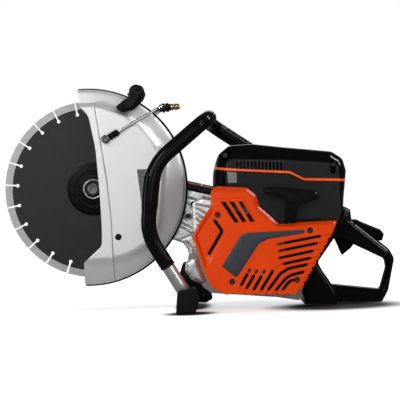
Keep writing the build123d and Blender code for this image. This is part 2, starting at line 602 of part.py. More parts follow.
def starter_housing():
    face_y, back_y = STARTER_FACE_Y, STARTER_BACK_Y
    shoulder_y = face_y + STARTER_CHAMFER
    outer = slab(STARTER, shoulder_y, back_y) + bevelled(STARTER, shoulder_y, face_y)
    inside = grown(STARTER, -WALL)
    hollow = slab(inside, shoulder_y, back_y + 1) + bevelled(inside, shoulder_y, face_y + WALL)
    shell = outer - hollow
    cuts = [stroke(run, 4.2, face_y - 1, face_y + 6) for run in SLANT_RUNS + DOWN_RUNS + NESTED]
    cuts += [stroke(run, 7, face_y - 1, face_y + 6) for run in SLOPE_RUNS]
    cuts.append(stroke(ELBOW_RUN, 4.6, face_y - 1, face_y + 6))
    shell = shell - cuts
    bosses = [disc(p, 8, face_y + 1, back_y) for p in STARTER_SCREWS]
    shell = shell + [b & outer for b in bosses]
    shell = shell - [disc(p, 5.2, face_y - 1, face_y + 5) for p in STARTER_SCREWS]
    shell = shell - [disc(p, 2.4 + TOUCH, face_y, back_y + 1) for p in STARTER_SCREWS]
    # Stub on which the rope spool turns, and the hole the rope leaves by.
    shell = shell + disc(CRANK, 6, face_y + 1, -103.5)
    shell = shell - rod((ROPE_GUIDE[0], ROPE_Y, 150), (ROPE_GUIDE[0], ROPE_Y, 170), 3.2)
    keep("starter_housing", shell)
    keep("starter_badge", slab(BADGE, face_y - 0.6, face_y - 0.02))
    screws = [screw(p, face_y + 5, -1, shank_l=56) for p in STARTER_SCREWS]
    screws += [screw(p, COVER_Y[0] + 9, -1, head_r=4.6, shank_l=14) for p in COVER_SCREW_AT]
    keep("housing_screws", group(screws))


def starter_works():
    spool = turned(CRANK, [
        (6 + RUN, -112), (32, -112), (32, -110.6), (SPOOL_R, -110.6), (SPOOL_R, -105), (32, -105),
        (32, -103.6), (6 + RUN, -103.6),
    ])
    keep("starter_spool", spool)
    turns, inner_r, pitch, strip = 4, 10.0, 4.4, 1.2
    depth = (-115.2, -112.4)
    # The flat coil spring is drawn as closed turns joined by one short link.
    link = [(CRANK[0] + inner_r, CRANK[1]), (CRANK[0] + inner_r + (turns - 1) * pitch, CRANK[1])]
    spring = stroke(link, strip, *depth)
    for i in range(turns):
        middle = inner_r + i * pitch
        spring = spring + ring(CRANK, middle + strip / 2, middle - strip / 2, *depth)
    keep("recoil_spring", spring)
    wound = ring(CRANK, SPOOL_R + GAP + 2 * ROPE_R, SPOOL_R + GAP, ROPE_Y - 2, ROPE_Y + 2)
    guide_x = ROPE_GUIDE[0]
    lead_path = [(CRANK[0] + 18, ROPE_Y, CRANK[1] + 20), (guide_x, ROPE_Y, 151), (guide_x, ROPE_Y, 169)]
    lead = pipe(lead_path, [6], 1.5)
    keep("starter_rope", wound + lead)


HANDLE_T = [
    (120, 222, 5), (126, 230, 5), (150, 231.5, 20), (180, 229, 20), (214, 222, 8), (224, 214, 7),
    (219, 202, 6), (206, 203, 6), (190, 206, 10), (183, 196, 8), (178, 170, 4), (165, 170, 4),
    (163, 197, 12), (152, 211, 10), (126, 215, 5),
]


def starter_handle():
    # From the side the stem leans outward, so that fingers fit between the bar and the cover.
    side = Polyline(
        (0, -103, 166), (0, -118, 166), (0, -119, 178), (0, -134, 204), (0, -134, 233), (0, -118, 233),
        (0, -117, 208), (0, -104, 184), close=True,
    )
    lean = Pos(100, 0, 0) * extrude(Face(Wire(side.edges())), 140, dir=(1, 0, 0))
    bar = slab(HANDLE_T, -134, -103)
    bar = fillet(bar.faces().sort_by(Axis.Y)[0].edges(), 4)
    handle = bar & lean
    keep("starter_handle", handle - rod((171.5, ROPE_Y, 160), (171.5, ROPE_Y, 182), ROPE_R + TOUCH))


# ---------------------------------------------------------------- blade guard
GUARD_OPEN = [
    (-228, 470), (-225, 406, 10), (-205, 382, 30), (-194, 320, 200), (-189, 240, 300), (-187, 160, 60),
    (-188, 128, 16), (-225, 95, 4), (-226, 20), (40, 20), (40, 470),
]
GUARD_OPEN_FAR = [
    (-228, 470), (-225, 406, 10), (-238, 340, 40), (-262, 280, 30), (-262, 200, 30), (-238, 150, 40),
    (-225, 95, 4), (-226, 20), (40, 20), (40, 470),
]
PLATEAU = [
    (-300, 411), (-195, 411, 30), (-172, 406, 60), (-133, 390, 60), (-93, 362, 60), (-66, 326, 40),
    (-54, 284, 60), (-63, 214, 200), (-68, 160, 50), (-94, 120, 60), (-134, 100, 60), (-170, 92, 60),
    (-300, 92),
]
DRAIN_HOLE = (-155.0, 144.0)
LABEL = [(-114, 275, 2), (-78, 275, 2), (-80, 204, 2), (-107, 204, 2)]
SEAM = [(-194, 409), (-183, 326), (-174, 257), (-168, 178), (-166, 40)]


def guard_shells():
    rim = disc(GUARD_CENTRE, GUARD_R, GUARD_FACE_Y, BLADE_Y - 1)
    plateau = bevelled(PLATEAU, GUARD_FACE_Y, GUARD_PLATEAU_Y, 40)
    outer = rim + plateau
    hollow = disc(GUARD_CENTRE, GUARD_R - WALL, GUARD_FACE_Y + WALL, BLADE_Y)
    hollow = hollow + bevelled(grown(PLATEAU, -1.6), GUARD_FACE_Y + WALL, GUARD_PLATEAU_Y + WALL, 40)
    near = (outer - hollow) & slab(GUARD_OPEN, 0, 100)
    near = near & disc(GUARD_CENTRE, GUARD_R, 0, 100)
    near = near - disc(DRAIN_HOLE, 5 + TOUCH, 10, 40) - disc(WATER_PORT, 5 + TOUCH, 10, 40)
    strip = [(-260, 408.5)] + [(x, min(z, 408.5)) for x, z in SEAM] + [(-260, 40)]
    front = near & slab(strip, 0, 100)
    keep("guard_front_section", front)
    keep("guard_near_shell", near - slab(grown(strip, 0.6), 0, 100))
    far = disc(GUARD_CENTRE, GUARD_R, BLADE_Y + 3, GUARD_BACK_Y)
    far = far - disc(GUARD_CENTRE, GUARD_R - WALL, BLADE_Y, GUARD_BACK_Y - WALL)
    far = far & slab(GUARD_OPEN_FAR, 0, 100)
    far = far + disc(SPINDLE, 46, GUARD_BACK_Y - 6, 86)
    far = far - disc(SPINDLE, HUB_R + GAP, 50, 100) - disc(WATER_PORT, 5 + TOUCH, 60, 100)
    keep("guard_far_shell", far)
    seal = ring(GUARD_CENTRE, 196.5, 188.5, BLADE_Y - 1 + TOUCH, BLADE_Y + 3 - TOUCH)
    seal = seal & slab(GUARD_OPEN, 0, 100)
    face_y = GUARD_PLATEAU_Y
    plug = disc(DRAIN_HOLE, 5, face_y - 1, 27) + disc(DRAIN_HOLE, 6.4, face_y - 1.6, face_y - TOUCH)
    keep("guard_rubber_seal_and_plug", group([seal, plug]))
    keep("guard_label_plate", slab(LABEL, face_y - 1, face_y - TOUCH))


GUARD_LEVER = [
    (-152, 399, 3), (-126, 417, 4), (-123, 434, 12), (-113, 443, 10), (-98, 439, 8), (-94, 424, 8),
    (-103, 402, 14), (-118, 392, 10), (-138, 387, 8),
]


def guard_lever():
    arm_part = slab(GUARD_LEVER, 15, GUARD_FACE_Y - TOUCH)
    grip_part = slab(GUARD_LEVER, 15, 70) - disc(GUARD_CENTRE, 198.5, 0, 100)
    lever = arm_part + grip_part - bevelled(grown(PLATEAU, 0.4), GUARD_FACE_Y, GUARD_PLATEAU_Y, 40)
    lever = lever & box(-200, 0, 0, 100, 300, 500)
    keep("guard_lever", lever.solids().sort_by(SortBy.VOLUME)[-1])


WATER_PORT = (-173.0, 336.0)
TEE_AT = (-60.0, 396.0)


def water_kit():
    x, z = WATER_PORT
    kinds = {"near": (GUARD_PLATEAU_Y, -1), "far": (GUARD_BACK_Y, 1)}
    fittings, pipes, bolts = [], [], []
    for side, (wall_y, way) in kinds.items():
        y = wall_y + way * 7
        reach = math.hypot(TEE_AT[0] - x, TEE_AT[1] - z)
        ux, uz = (TEE_AT[0] - x) / reach, (TEE_AT[1] - z) / reach
        body = disc((x, z), 8, *sorted((wall_y + way * TOUCH, wall_y + way * 12.6)))
        tail = rod((x, y, z), (x + 28 * ux, y, z + 28 * uz), 5.4)
        for step in (13, 18, 23):
            rib = [(x + reach_at * ux, y, z + reach_at * uz) for reach_at in (step, step + 3)]
            tail = tail + rod(*rib, 6.6)
        body = body + tail - disc((x, z), 4 + TOUCH, -50, 150)
        start, knee = (x + 20 * ux, y, z + 20 * uz), (TEE_AT[0], y, TEE_AT[1])
        body = body - rod(start, (x + 40 * ux, y, z + 40 * uz), 3 + TOUCH)
        fittings.append(body)
        tube = pipe([start, knee, (TEE_AT[0], BLADE_Y + way * 9, TEE_AT[1])], [12], 3)
        pipes.append(tube)
        bolts.append(screw((x, z), wall_y + way * 12.6, way, head_r=6.5, head_h=3.5, shank_r=4, shank_l=16))
    keep("water_pipes", group(pipes))
    tx, tz = TEE_AT
    tee = rod((tx - 6, BLADE_Y, tz - 0.5), (tx + 16, BLADE_Y, tz + 1), 7.5)
    tee = tee + rod((tx, BLADE_Y - 17, tz), (tx, BLADE_Y + 17, tz), 6)
    tee = tee + rod((tx + 6, BLADE_Y, tz), (tx + 12, BLADE_Y, tz + 0.6), 9)
    tee = tee - rod((tx, BLADE_Y - 30, tz), (tx, BLADE_Y - 9, tz), 3 + TOUCH)
    tee = tee - rod((tx, BLADE_Y + 9, tz), (tx, BLADE_Y + 30, tz), 3 + TOUCH)
    tee = tee - rod((tx + 8, BLADE_Y, tz + 1), (tx + 30, BLADE_Y, tz + 1), 5 + TOUCH)
    keep("water_fittings", group(fittings + bolts + [tee]))
    nipple = rod((tx + 8, BLADE_Y, tz + 1), (tx + 34, BLADE_Y, tz + 1), 5)
    nipple = nipple + rod((tx + 18, BLADE_Y, tz + 1), (tx + 34, BLADE_Y, tz + 1), 6.5)
    nipple = nipple - rod((tx + 10, BLADE_Y, tz + 1), (tx + 40, BLADE_Y, tz + 1), 3.2)
    keep("water_inlet_nipple", nipple)


# ---------------------------------------------------------------- front handle and feet
HANDLE_PATH = [
    (-24, 78, 33), (-24, -94, 33), (-92, -108, 151), (-78, -112, 277), (30, -100, 365), (30, 102, 365),
    (112, 104, 308), (186, 100, 236),
]
HANDLE_RADII = [30, 90, 90, 38, 38, 90]
NEAR_FOOT = [(-45, 0, 3), (-41, 43, 6), (-6, 50, 8), (0, 28, 8), (-9, 0, 8)]
LOWER_BRACKET = [
    (-40, 20, 4), (-40, 62, 4), (-30, 92, 6), (-17, 88, 4), (-2, 66, 6), (12, 44, 6), (26, 24, 4), (12, 16, 4),
]
CLAMP_FOOT = [(120, 196), (196, 196, 6), (204, 236, 10), (190, 256, 10), (168, 240, 6), (120, 214, 6)]
CLAMP_HEAD = [(166, 214, 5), (194, 214, 5), (206, 238, 8), (188, 258, 8), (160, 236, 5)]


def front_handle():
    tube = pipe(HANDLE_PATH, HANDLE_RADII, TUBE_R)
    bore = pipe(HANDLE_PATH, HANDLE_RADII, TUBE_R - 2)
    keep("front_handle_tube", tube - bore)
    sleeve = pipe(HANDLE_PATH, HANDLE_RADII, GRIP_R) - pipe(HANDLE_PATH, HANDLE_RADII, TUBE_R + TOUCH)
    low = Plane((-58, -101, 92), z_dir=(-68, -14, 118))
    sleeve = sleeve - low * Box(200, 400, 400, align=(Align.CENTER, Align.CENTER, Align.MAX))
    high = Plane((150, 102, 271), z_dir=(74, -4, -72))
    sleeve = sleeve - high * Box(120, 120, 200, align=(Align.CENTER, Align.CENTER, Align.MIN))
    keep("front_handle_grip", max(sleeve.solids(), key=lambda s: s.volume))
    clearance = pipe(HANDLE_PATH, HANDLE_RADII, TUBE_R + TOUCH)
    near = slab(NEAR_FOOT, -118, -72) - clearance
    far = slab(NEAR_FOOT, 44, 84) - clearance
    keep("front_feet", group([near.solids().sort_by(SortBy.VOLUME)[-1], far]))
    bracket = slab(LOWER_BRACKET, -58, 40)
    bracket = bracket - clearance - slab(grown(CRANKCASE, TOUCH), -70, 90) - box(-50, 40, -44, 26, 50, 100)
    keep("lower_bracket", bracket)
    clamp = slab(CLAMP_FOOT, 80.05, 84) + slab(CLAMP_HEAD, 84, 112) - clearance
    keep("handle_clamp", clamp)


# ---------------------------------------------------------------- rear handle and tank
REAR_OUTER = [
    (199, 4, 3), (292, 0), (352, 0, 7), (365, 23, 30), (379, 84, 16), (370, 102.5, 16), (299, 163, 3),
    (297, 182, 5), (284, 189, 5), (278, 188, 2), (276, 182), (264, 158.5), (199, 158.5, 4),
]
REAR_OPENING = [
    (262, 127, 6), (231, 82, 8), (252, 40, 8), (348, 27, 5), (361, 68, 16), (359, 84, 10), (301, 114, 3),
]
TANK_Y = (-46.0, 60.0)
GRIP_Y = (-18.0, 18.0)
TANK_SPAN = [
    (199, 4, 3), (262, 1.6), (262, 22), (247, 50), (226, 82), (259, 127), (262, 158.5), (199, 158.5, 4),
]
TRIGGER = [
    (262, 131, 4), (268, 118, 8), (274, 102, 30), (278, 93, 2), (296, 107, 8), (304, 117, 4), (296, 134, 5),
    (280, 141, 8),
]
TRIGGER_PIVOT = (288.0, 131.0)
LOCKOUT = [
    (300, 157, 3), (302, 164, 3), (354, 141, 4), (361, 132, 4), (357, 119, 3), (345, 119, 6), (318, 140, 6),
]
LOCKOUT_PIVOT = (306.0, 157.0)
TRIGGER_TRAVEL = 16        # degrees
LOCKOUT_TRAVEL = 8
FUEL_CAP = (229.0, 122.0)
MOUNTS_AT = [(-30.0, 34.0), (44.0, 34.0), (6.0, 136.0)]


def rear_unit():
    loop = outline(REAR_OUTER) - outline(REAR_OPENING)
    handle = slab(loop.face(), *GRIP_Y)
    rims = [e for e in handle.edges() if abs(abs(e.center().Y) - GRIP_Y[1]) < 0.01 and e.center().X > 264]
    handle = fillet(rims, 6)
    tank = slab(TANK_SPAN, *TANK_Y)
    tank = fillet(tank.faces().sort_by(Axis.Y)[0].edges() + tank.faces().sort_by(Axis.Y)[-1].edges(), 5)
    tank_inside = slab(grown(TANK_SPAN, -4), TANK_Y[0] + 4, TANK_Y[1] - 4)
    slot_y = (-8.4, 8.4)
    trigger_bay = slab([(262, 128), (272, 150), (296, 146), (312, 118)], *slot_y)
    for turn in range(0, TRIGGER_TRAVEL + 1, 4):
        trigger_bay = trigger_bay + turned_copy(slab(grown(TRIGGER, 1.0), *slot_y), TRIGGER_PIVOT, -turn)
    lock_bay = slab([(300, 146), (338, 108), (350, 103), (361, 113), (363, 124), (330, 150)], *slot_y)
    for turn in range(0, LOCKOUT_TRAVEL + 1, 4):
        lock_bay = lock_bay + turned_copy(slab(grown(LOCKOUT, 1.0), *slot_y), LOCKOUT_PIVOT, turn)
    body = handle + tank - tank_inside
    body = body - trigger_bay - lock_bay
    neck = ring(FUEL_CAP, 20, 16 + GAP, TANK_Y[1] - 4, TANK_Y[1] + 3)
    body = body - disc(FUEL_CAP, 16 + GAP, 50, 70) + neck
    body = body - [rod((196, y, z), (208, y, z), 9 + TOUCH) for y, z in MOUNTS_AT]
    pads = [rod((199.5, y, z), (212, y, z), 13) for y, z in MOUNTS_AT]
    body = body + pads - [rod((196, y, z), (208, y, z), 9 + TOUCH) for y, z in MOUNTS_AT]
    body = body - disc(TRIGGER_PIVOT, 2.5 + TOUCH, -30, 30) - disc(LOCKOUT_PIVOT, 2.5 + TOUCH, -30, 30)
    seam = stroke([(303, 147), (366, 96)], 1.6, -30, 30)
    shallow = slab(REAR_OUTER, GRIP_Y[0] - 1, GRIP_Y[0] + 1.2)
    shallow = shallow + slab(REAR_OUTER, GRIP_Y[1] - 1.2, GRIP_Y[1] + 1)
    body = body - (seam & shallow)
    keep("rear_handle_and_tank", body.solids().sort_by(SortBy.VOLUME)[-1])
    trigger = slab(TRIGGER, -7.6, 7.6) + disc(TRIGGER_PIVOT, 6, -7.6, 7.6)
    keep("throttle_trigger", trigger - disc(TRIGGER_PIVOT, 2.5 + RUN, -20, 20))
    lockout = slab(LOCKOUT, -7.6, 7.6) - disc(LOCKOUT_PIVOT, 2.5 + RUN, -20, 20)
    keep("throttle_lockout", lockout)
    keep("handle_pins", group([disc(TRIGGER_PIVOT, 2.5, -17, 17), disc(LOCKOUT_PIVOT, 2.5, -17, 17)]))
    keep("vibration_mounts", group([rod((190, y, z), (207, y, z), 9) for y, z in MOUNTS_AT]))


def controls():
    wall_y, cap_r, grip_count = TANK_Y[1], 21.0, 18
    cap = disc(FUEL_CAP, 16, 52, wall_y + 3.4) + disc(FUEL_CAP, cap_r, wall_y + 3.4, wall_y + 14)
    grips = []
    for i in range(grip_count):
        edge = around(FUEL_CAP, cap_r + 0.6, i * 360 / grip_count)
        grips.append(disc(edge, 1.6, wall_y + 4, wall_y + 15))
    # A bar is left standing across the cap to turn it by.
    sides = [box(209, 249, wall_y + 9, wall_y + 15, low, high) for low, high in ((90, 119.4), (124.6, 150))]
    keep("fuel_cap", cap - grips - sides)
    y0 = GRIP_Y[0]
    keep("stop_switch", box(283, 291, y0 - 4.5, y0 - 0.4, 168, 178))
    choke = rod((CHOKE[0], 40, CHOKE[1]), (CHOKE[0], 82, CHOKE[1]), 3)
    choke = choke + rod((CHOKE[0], 80, CHOKE[1]), (CHOKE[0], 90, CHOKE[1]), 9)
    keep("choke_knob", choke)
    valve_x, valve_z = DECOMPRESSION
    stem = rod((valve_x, 36, valve_z), (valve_x, 86, valve_z), 3.5)
    cap = rod((valve_x, 84, valve_z), (valve_x, 92, valve_z), 8)
    keep("decompression_button", stem + cap)


def main():
    os.makedirs("parts", exist_ok=True)
    for maker in MAKERS:
        maker()
    for name, shape in nodes.items():
        export_step(shape, f"parts/{name}.step")


MAKERS = [
    blade, flanges, spindle, arm, belt_and_covers, crankcase, crankshaft, piston, cylinder_and_muffler,
    clutch, flywheel, fuel_system, engine_cover, starter_housing, starter_works, starter_handle,
    guard_shells, guard_lever, water_kit, front_handle, rear_unit, controls,
]

if __name__ == "__main__":
    main()
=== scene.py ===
"""Concrete cut-off saw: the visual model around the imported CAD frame.

Outlines are (x, z[, corner radius]) points in millimetres in the frame's own axes, seen from the
starter side, and depths are y values in millimetres. Every piece is scaled to metres when it is made.
"""
import math

import bmesh
import bpy
import numpy as np
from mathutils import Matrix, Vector, geometry


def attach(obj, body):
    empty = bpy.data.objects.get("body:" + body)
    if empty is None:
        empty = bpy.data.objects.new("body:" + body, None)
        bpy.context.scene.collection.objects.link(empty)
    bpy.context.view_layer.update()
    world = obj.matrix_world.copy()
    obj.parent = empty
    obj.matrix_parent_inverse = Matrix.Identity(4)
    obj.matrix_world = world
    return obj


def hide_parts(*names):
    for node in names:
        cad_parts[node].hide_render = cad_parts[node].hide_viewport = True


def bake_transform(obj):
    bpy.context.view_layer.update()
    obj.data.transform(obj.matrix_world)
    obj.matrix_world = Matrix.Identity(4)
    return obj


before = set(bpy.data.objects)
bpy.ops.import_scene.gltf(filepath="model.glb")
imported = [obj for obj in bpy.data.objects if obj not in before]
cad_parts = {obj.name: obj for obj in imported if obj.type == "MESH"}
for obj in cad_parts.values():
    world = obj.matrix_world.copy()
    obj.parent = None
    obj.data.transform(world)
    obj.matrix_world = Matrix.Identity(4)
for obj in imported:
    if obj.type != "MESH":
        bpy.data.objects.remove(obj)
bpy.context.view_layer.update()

MM = 0.001
SCENE = bpy.context.scene

# ---------------------------------------------------------------- driving places, in millimetres
SPINDLE = (-203.0, 240.0)
CRANK = (94.0, 138.0)
BLADE_Y = 58.0
GUARD_CENTRE = (-212.0, 244.0)
GUARD_R = 192.0


# ---------------------------------------------------------------- outlines
def rounded(points, step=1.6):
    """Closed loop of (x, z) rows from points with corner radii; corners become arcs."""
    loop = []
    count = len(points)
    for i, p in enumerate(points):
        corner = np.array(p[:2], float)
        radius = p[2] if len(p) > 2 else 0.0
        if not radius:
            loop.append(corner)
            continue
        back = np.array(points[i - 1][:2], float) - corner
        ahead = np.array(points[(i + 1) % count][:2], float) - corner
        back /= np.linalg.norm(back)
        ahead /= np.linalg.norm(ahead)
        half = math.acos(max(-1.0, min(1.0, float(back @ ahead)))) / 2
        reach = radius / math.tan(half)
        middle = back + ahead
        centre = corner + middle / np.linalg.norm(middle) * radius / math.sin(half)
        first = corner + back * reach - centre
        last = corner + ahead * reach - centre
        start = math.atan2(first[1], first[0])
        sweep = (math.atan2(last[1], last[0]) - start + math.pi) % (2 * math.pi) - math.pi
        pieces = max(3, math.ceil(abs(sweep) * radius / step), math.ceil(abs(sweep) / 0.35))
        for k in range(pieces + 1):
            angle = start + sweep * k / pieces
            loop.append(centre + radius * np.array([math.cos(angle), math.sin(angle)]))
    return tidy_loop(np.array(loop))


def tidy_loop(loop, nearest=0.02):
    """Counter-clockwise loop without repeated points."""
    keep = [i for i in range(len(loop)) if np.linalg.norm(loop[i] - loop[i - 1]) > nearest]
    loop = loop[keep]
    x, z = loop[:, 0], loop[:, 1]
    area = np.sum(x * np.roll(z, -1) - np.roll(x, -1) * z)
    return loop if area > 0 else loop[::-1]


def as_loop(outline):
    """A loop as it is, or the loop of a list of corner points."""
    return outline if isinstance(outline, np.ndarray) else rounded(outline)


def dense(loop, step=4.0):
    """The same loop with long sides divided."""
    out = []
    for i in range(len(loop)):
        a, b = loop[i], loop[(i + 1) % len(loop)]
        pieces = max(1, math.ceil(np.linalg.norm(b - a) / step))
        for k in range(pieces):
            out.append(a + (b - a) * k / pieces)
    return np.array(out)


def circle(centre, radius, count=48):
    turn = np.linspace(0, 2 * math.pi, count, endpoint=False)
    return np.stack([centre[0] + radius * np.cos(turn), centre[1] + radius * np.sin(turn)], 1)


def turned(centre, radius, degrees):
    """Point at a distance and an angle from a centre."""
    lean = math.radians(degrees)
    return (centre[0] + radius * math.cos(lean), centre[1] + radius * math.sin(lean))


def ring(loop):
    """Guide line once round a loop."""
    return np.vstack([loop, loop[:1]])


def slot(line, width, count=8):
    """Round-ended slot along an open line of (x, z) points, with its bends mitred."""
    line = np.array(line, float)
    half = width / 2
    left, right = [], []
    for i in range(len(line)):
        way = line[min(i + 1, len(line) - 1)] - line[max(i - 1, 0)]
        if 0 < i < len(line) - 1:
            a = line[i] - line[i - 1]
            b = line[i + 1] - line[i]
            way = a / np.linalg.norm(a) + b / np.linalg.norm(b)
        way = way / np.linalg.norm(way)
        side = np.array([-way[1], way[0]])
        grow = 1.0
        if 0 < i < len(line) - 1:
            a = (line[i] - line[i - 1]) / np.linalg.norm(line[i] - line[i - 1])
            grow = 1.0 / max(0.5, float(a @ way))
        left.append(line[i] + side * half * grow)
        right.append(line[i] - side * half * grow)
    caps = []
    for end, towards in ((line[-1], line[-1] - line[-2]), (line[0], line[0] - line[1])):
        lean = math.atan2(towards[1], towards[0])
        angles = [lean + math.pi / 2 - math.pi * k / count for k in range(1, count)]
        caps.append([end + half * np.array([math.cos(t), math.sin(t)]) for t in angles])
    return tidy_loop(np.array(left + caps[0] + right[::-1] + caps[1]))


def distance(points, loop):
    """Distance from each point to a closed loop."""
    a = loop
    b = np.roll(loop, -1, axis=0)
    along = b - a
    length = np.maximum((along ** 2).sum(1), 1e-9)
    out = np.empty(len(points))
    for start in range(0, len(points), 2000):
        p = points[start:start + 2000, None, :]
        t = np.clip(((p - a) * along).sum(2) / length, 0, 1)
        gap = p - a - along * t[:, :, None]
        out[start:start + 2000] = np.sqrt((gap ** 2).sum(2)).min(1)
    return out


def within(points, loop):
    """True for each point inside a closed loop."""
    x1, z1 = loop[:, 0], loop[:, 1]
    x2, z2 = np.roll(x1, -1), np.roll(z1, -1)
    rise = np.where(np.abs(z2 - z1) < 1e-12, 1e-12, z2 - z1)
    out = np.empty(len(points), bool)
    for start in range(0, len(points), 2000):
        x = points[start:start + 2000, None, 0]
        z = points[start:start + 2000, None, 1]
        crosses = ((z1 > z) != (z2 > z)) & (x < x1 + (z - z1) * (x2 - x1) / rise)
        out[start:start + 2000] = crosses.sum(1) % 2 == 1
    return out


def signed(points, loop):
    """Distance to a loop, positive inside it."""
    return distance(points, loop) * np.where(within(points, loop), 1.0, -1.0)


def offset(loop, amount):
    """Open runs of the loop moved inward by an amount, without the parts that cross over."""
    before = loop - np.roll(loop, 1, axis=0)
    after = np.roll(loop, -1, axis=0) - loop
    before /= np.linalg.norm(before, axis=1)[:, None]
    after /= np.linalg.norm(after, axis=1)[:, None]
    middle = before + after
    middle /= np.maximum(np.linalg.norm(middle, axis=1)[:, None], 1e-6)
    inward = np.stack([-middle[:, 1], middle[:, 0]], 1)
    grow = 1.0 / np.maximum(0.45, (before * middle).sum(1))
    moved = loop + inward * (amount * grow)[:, None]
    good = distance(moved, loop) > abs(amount) * 0.97
    runs, run = [], []
    for i in range(len(moved) + 1):
        k = i % len(moved)
        if good[k] and i < len(moved):
            run.append(moved[k])
        elif run:
            runs.append(np.array(run))
            run = []
    if good.all():
        return [np.vstack([moved, moved[:1]])]
    if runs and good[0] and good[-1] and len(runs) > 1:
        runs[0] = np.vstack([runs.pop(), runs[0]])
    return runs


def smooth(t):
    t = np.clip(t, 0, 1)
    return t * t * (3 - 2 * t)


def roll(d, radius):
    """How far a rounded edge has dropped at a distance d in from it."""
    u = 1 - np.clip(d / radius, 0, 1)
    return radius * (1 - np.sqrt(np.maximum(0, 1 - u * u)))


# ---------------------------------------------------------------- meshes
def flat_mesh(outers, holes=(), guides=(), spacing=5.0):
    """Triangles inside every outline and outside every hole, with vertices along each guide line."""
    rows, edges = [], []

    def add(line, closed):
        first = len(rows)
        rows.extend(line)
        count = len(line)
        edges.extend((first + i, first + i + 1) for i in range(count - 1))
        if closed:
            edges.append((first + count - 1, first))

    for loop in list(outers) + list(holes):
        add(loop, True)
    for guide in guides:
        if len(guide) > 1:
            add(guide, False)
    fixed = np.array(rows)
    low = np.max([loop.min(0) for loop in outers], axis=0)
    high = np.min([loop.max(0) for loop in outers], axis=0)
    xs = np.arange(low[0] + spacing / 2, high[0], spacing)
    zs = np.arange(low[1] + spacing / 2, high[1], spacing * 0.866)
    grid = np.array([(x + (k % 2) * spacing / 2, z) for k, z in enumerate(zs) for x in xs])
    if len(grid):
        grid = grid[filled(grid, outers, holes)]
        nearest = np.full(len(grid), 1e9)
        for start in range(0, len(fixed), 500):
            gap = grid[:, None, :] - fixed[None, start:start + 500, :]
            nearest = np.minimum(nearest, np.sqrt((gap ** 2).sum(2)).min(1))
        grid = grid[nearest > spacing * 0.55]
        rows.extend(grid)
    made = geometry.delaunay_2d_cdt([Vector(r) for r in rows], edges, [], 0, 1e-4)
    points = np.array([tuple(v) for v in made[0]])
    faces = np.array([tuple(f) for f in made[2]])
    centres = points[faces].mean(1)
    return points, faces[filled(centres, outers, holes)]


def filled(points, outers, holes):
    good = np.ones(len(points), bool)
    for loop in outers:
        good &= within(points, loop)
    for hole in holes:
        good &= ~within(points, hole)
    return good


def nearest_edge(points, loops):
    return np.min([distance(points, loop) for loop in loops], axis=0)


def border(faces):
    """Directed edges that belong to one face only."""
    seen = {}
    for f in faces:
        for i in range(len(f)):
            a, b = int(f[i]), int(f[(i + 1) % len(f)])
            seen[(a, b)] = True
    return [(a, b) for a, b in seen if (b, a) not in seen]


def lens_rows(points, faces, near, far, wall_rows=0):
    """Closed solid between two depth fields over one flat mesh."""
    count = len(points)
    order = [tuple(int(v) for v in f) for f in faces]
    a, b, c = (points[faces[0][k]] for k in range(3))
    turn = (b[0] - a[0]) * (c[1] - a[1]) - (b[1] - a[1]) * (c[0] - a[0])
    if turn < 0:
        order = [f[::-1] for f in order]
    verts = [(p[0], y, p[1]) for p, y in zip(points, near)]
    verts += [(p[0], y, p[1]) for p, y in zip(points, far)]
    polys = list(order) + [tuple(v + count for v in f[::-1]) for f in order]
    levels = {}
    for a, b in border(order):
        for v in (a, b):
            if v not in levels:
                chain = [v]
                for k in range(wall_rows):
                    t = (k + 1) / (wall_rows + 1)
                    verts.append((points[v][0], near[v] + (far[v] - near[v]) * t, points[v][1]))
                    chain.append(len(verts) - 1)
                levels[v] = chain + [v + count]
        for k in range(len(levels[a]) - 1):
            polys.append((levels[b][k], levels[a][k], levels[a][k + 1], levels[b][k + 1]))
    return verts, polys


def piece(name, shells, finish, node=None, body="saw", sharp=32.0, tags=None, second=None):
    """Object from one shell or a list of shells in millimetres, smooth except at its sharp edges.

    It rides on its body unless that is None. Faces with tag 1 take the second finish.
    """
    verts, polys = join_rows(shells if isinstance(shells, list) else [shells])
    mesh = bpy.data.meshes.new(name)
    mesh.from_pydata([(x * MM, y * MM, z * MM) for x, y, z in verts], [], polys)
    mesh.materials.append(finish)
    if second:
        mesh.materials.append(second)
        mesh.polygons.foreach_set("material_index", tags)
    work = bmesh.new()
    work.from_mesh(mesh)
    bmesh.ops.remove_doubles(work, verts=work.verts, dist=1e-7)
    bmesh.ops.dissolve_degenerate(work, edges=work.edges, dist=1e-7)
    loose = [v for v in work.verts if not v.link_faces]
    bmesh.ops.delete(work, geom=loose, context="VERTS")
    bmesh.ops.recalc_face_normals(work, faces=work.faces)
    work.to_mesh(mesh)
    work.free()
    mesh.polygons.foreach_set("use_smooth", [True] * len(mesh.polygons))
    mesh.set_sharp_from_angle(angle=math.radians(sharp))
    mesh.update()
    obj = bpy.data.objects.new(name, mesh)
    SCENE.collection.objects.link(obj)
    if body:
        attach(obj, body)
    if node:
        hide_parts(node)
    return obj


def join_rows(parts):
    """Vertices and faces of several shells as one list."""
    verts, polys = [], []
    for part_verts, part_polys in parts:
        first = len(verts)
        verts += list(part_verts)
        polys += [tuple(v + first for v in f) for f in part_polys]
    return verts, polys


def edge_rings(loop, radius, count=3, way=1):
    """Guide lines that follow a rounded edge."""
    lines = []
    for k in range(1, count + 1):
        d = radius * (1 - math.cos(math.pi / 2 * k / count))
        lines += offset(loop, way * d)
    return lines


def step_guides(steps, support=0.35):
    """Guide lines along both ends of every ramp, doubled so that its edges stay crisp."""
    guides = []
    for loop, _, ramp in steps:
        loop = dense(as_loop(loop), 4)
        guides.append(ring(loop))
        for d in (-support, support, ramp - support, ramp, ramp + support):
            guides += offset(loop, d)
    return guides


